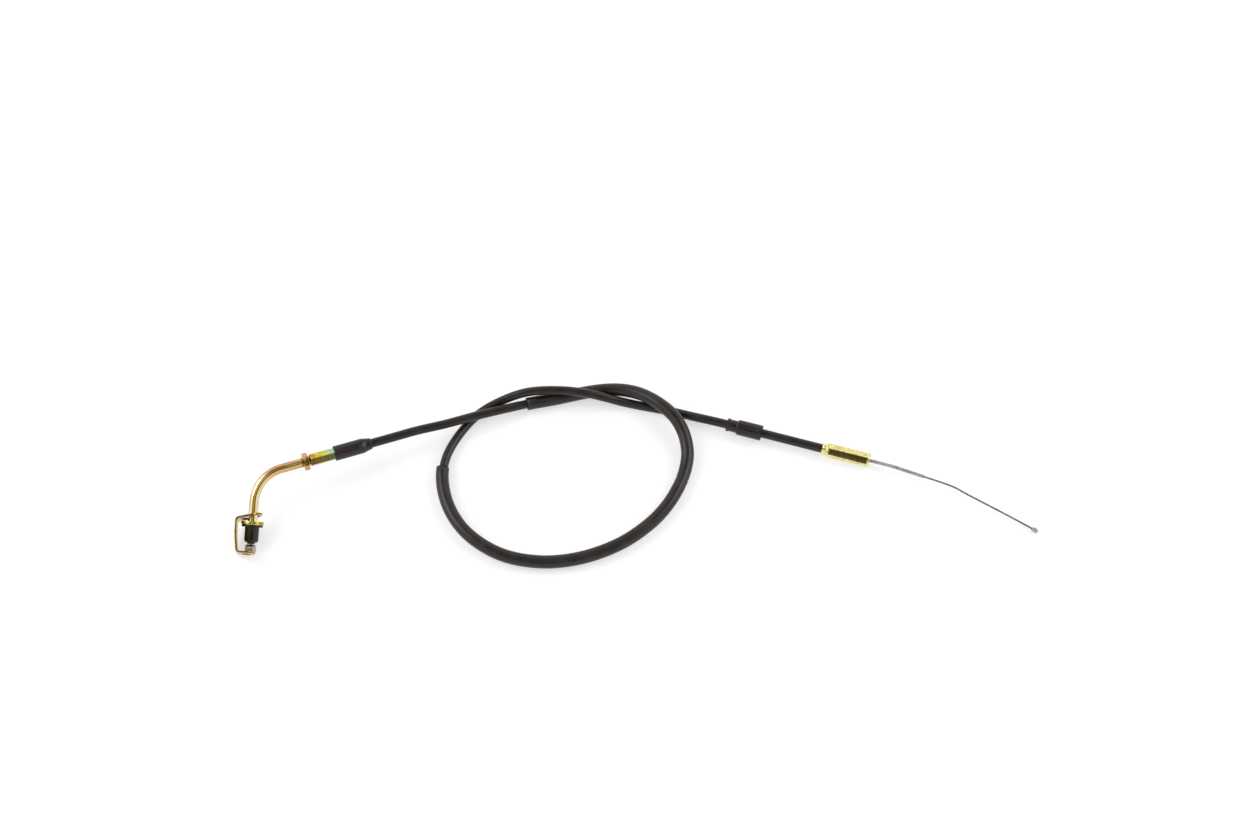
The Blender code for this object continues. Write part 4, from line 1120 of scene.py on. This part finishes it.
# %% The bracket's two ears and its wall
def add_ear(centre, slope, radius, hole, edge_row):
    """Bridge an ear's outline to its round hole, in the ear's own plane."""
    def at(u, v):
        return sheet.verts.new((
            (centre[0] + u * math.cos(slope)) * MM, (centre[1] + v) * MM,
            (centre[2] + u * math.sin(slope)) * MM,
        ))

    outline = [
        ((v.co.x / MM - centre[0]) / math.cos(slope), v.co.y / MM - centre[1]) for v in edge_row
    ]
    loop = list(edge_row)
    for i in range(EAR_STEPS + 1):
        angle = math.pi / 2.0 - math.pi * i / EAR_STEPS
        outline.append((radius * math.cos(angle), radius * math.sin(angle)))
        loop.append(at(*outline[-1]))
    inner = []
    for u, v in outline:
        angle = math.atan2(v, u)
        inner.append(at(hole * math.cos(angle), hole * math.sin(angle)))
    for i in range(len(loop)):
        sheet.faces.new((loop[i - 1], loop[i], inner[i], inner[i - 1]))


add_ear((0.0, 0.0, 0.0), -RING_SPLAY, RING_RADIUS, RING_HOLE, rails[0])
add_ear((lug_x, LUG_OFFSET, BRACKET_HEIGHT), LUG_SPLAY, LUG_RADIUS, LUG_HOLE, rails[-1])
bmesh.ops.remove_doubles(sheet, verts=sheet.verts, dist=1e-6)
bmesh.ops.recalc_face_normals(sheet, faces=sheet.faces)
bracket = place(
    "bracket", sheet, bracket_frame(), BRACKET_ZINC, "bracket", "yellow_zinc_plate",
    "tube_bracket", EDGE_ZINC)
SHEET_THICKNESS, SHEARED_EDGE = 1.2 * MM, 0.18 * MM
wall = bracket.modifiers.new("wall", "SOLIDIFY")
wall.thickness = SHEET_THICKNESS
wall.offset = 0.0
wall.use_even_offset = True
wall.material_offset_rim = 1
edges = bracket.modifiers.new("edges", "BEVEL")
edges.width = SHEARED_EDGE
edges.segments = 2
edges.limit_method = "ANGLE"
edges.angle_limit = math.radians(50.0)

# %% [markdown]
# The photograph is nearly shadowless. A softbox stands on each side, and the
# white table glows a little, which keeps the shadows faint. Metal shows what it
# reflects, so the white room has one soft dark ring above the table, which draws
# the thin dark lines along the plate.

# %% Table, lights and room
TABLE_HALF_WIDTH, TABLE_GLOW = 3.0, 0.57
floor_bm = bmesh.new()
bmesh.ops.create_grid(floor_bm, x_segments=1, y_segments=1, size=TABLE_HALF_WIDTH)
floor_mesh = bpy.data.meshes.new("table_top")
floor_bm.to_mesh(floor_mesh)
floor_bm.free()
floor = add_object("table_top", floor_mesh)
floor_mesh.materials.append(finish(
    "white_table", "b6b6b6", 0.7, Emission_Color=linear("ffffff"),
    Emission_Strength=TABLE_GLOW))

SOFTBOX_SIZE, SOFTBOX_WATTS = 0.9, 9.0
SOFTBOXES = {"left_softbox": (-1.2, 0.25, 1.15), "right_softbox": (1.25, 0.35, 1.15)}
for name, stand in SOFTBOXES.items():
    data = bpy.data.lights.new(name, "AREA")
    data.shape = "SQUARE"
    data.size = SOFTBOX_SIZE
    data.energy = SOFTBOX_WATTS
    lamp = add_object(name, data)
    lamp.location = stand
    lamp.rotation_euler = (-Vector(stand)).to_track_quat("-Z", "Y").to_euler()

room = bpy.data.worlds.new("pale_room")
room.use_nodes = True
bpy.context.scene.world = room
sky = room.node_tree.nodes["Background"]
sky.inputs["Color"].default_value = linear("ffffff")
DARK_RING = Vector((0.105, -0.21, 0.972)).normalized()
look = add_node(room, "ShaderNodeTexCoord", {})
facing = add_node(room, "ShaderNodeVectorMath", {
    0: look.outputs["Generated"], 1: DARK_RING,
}, {"operation": "DOT_PRODUCT"})
shade = add_node(room, "ShaderNodeValToRGB", {"Fac": facing.outputs["Value"]}, stops=[
    (0.75, 1.0), (0.81, 0.02), (0.935, 0.02), (0.972, 0.75), (1.0, 0.9),
])
room.node_tree.links.new(shade.outputs["Color"], sky.inputs["Strength"])
bpy.context.scene.view_settings.view_transform = "Standard"
print("lights:", list(SOFTBOXES))
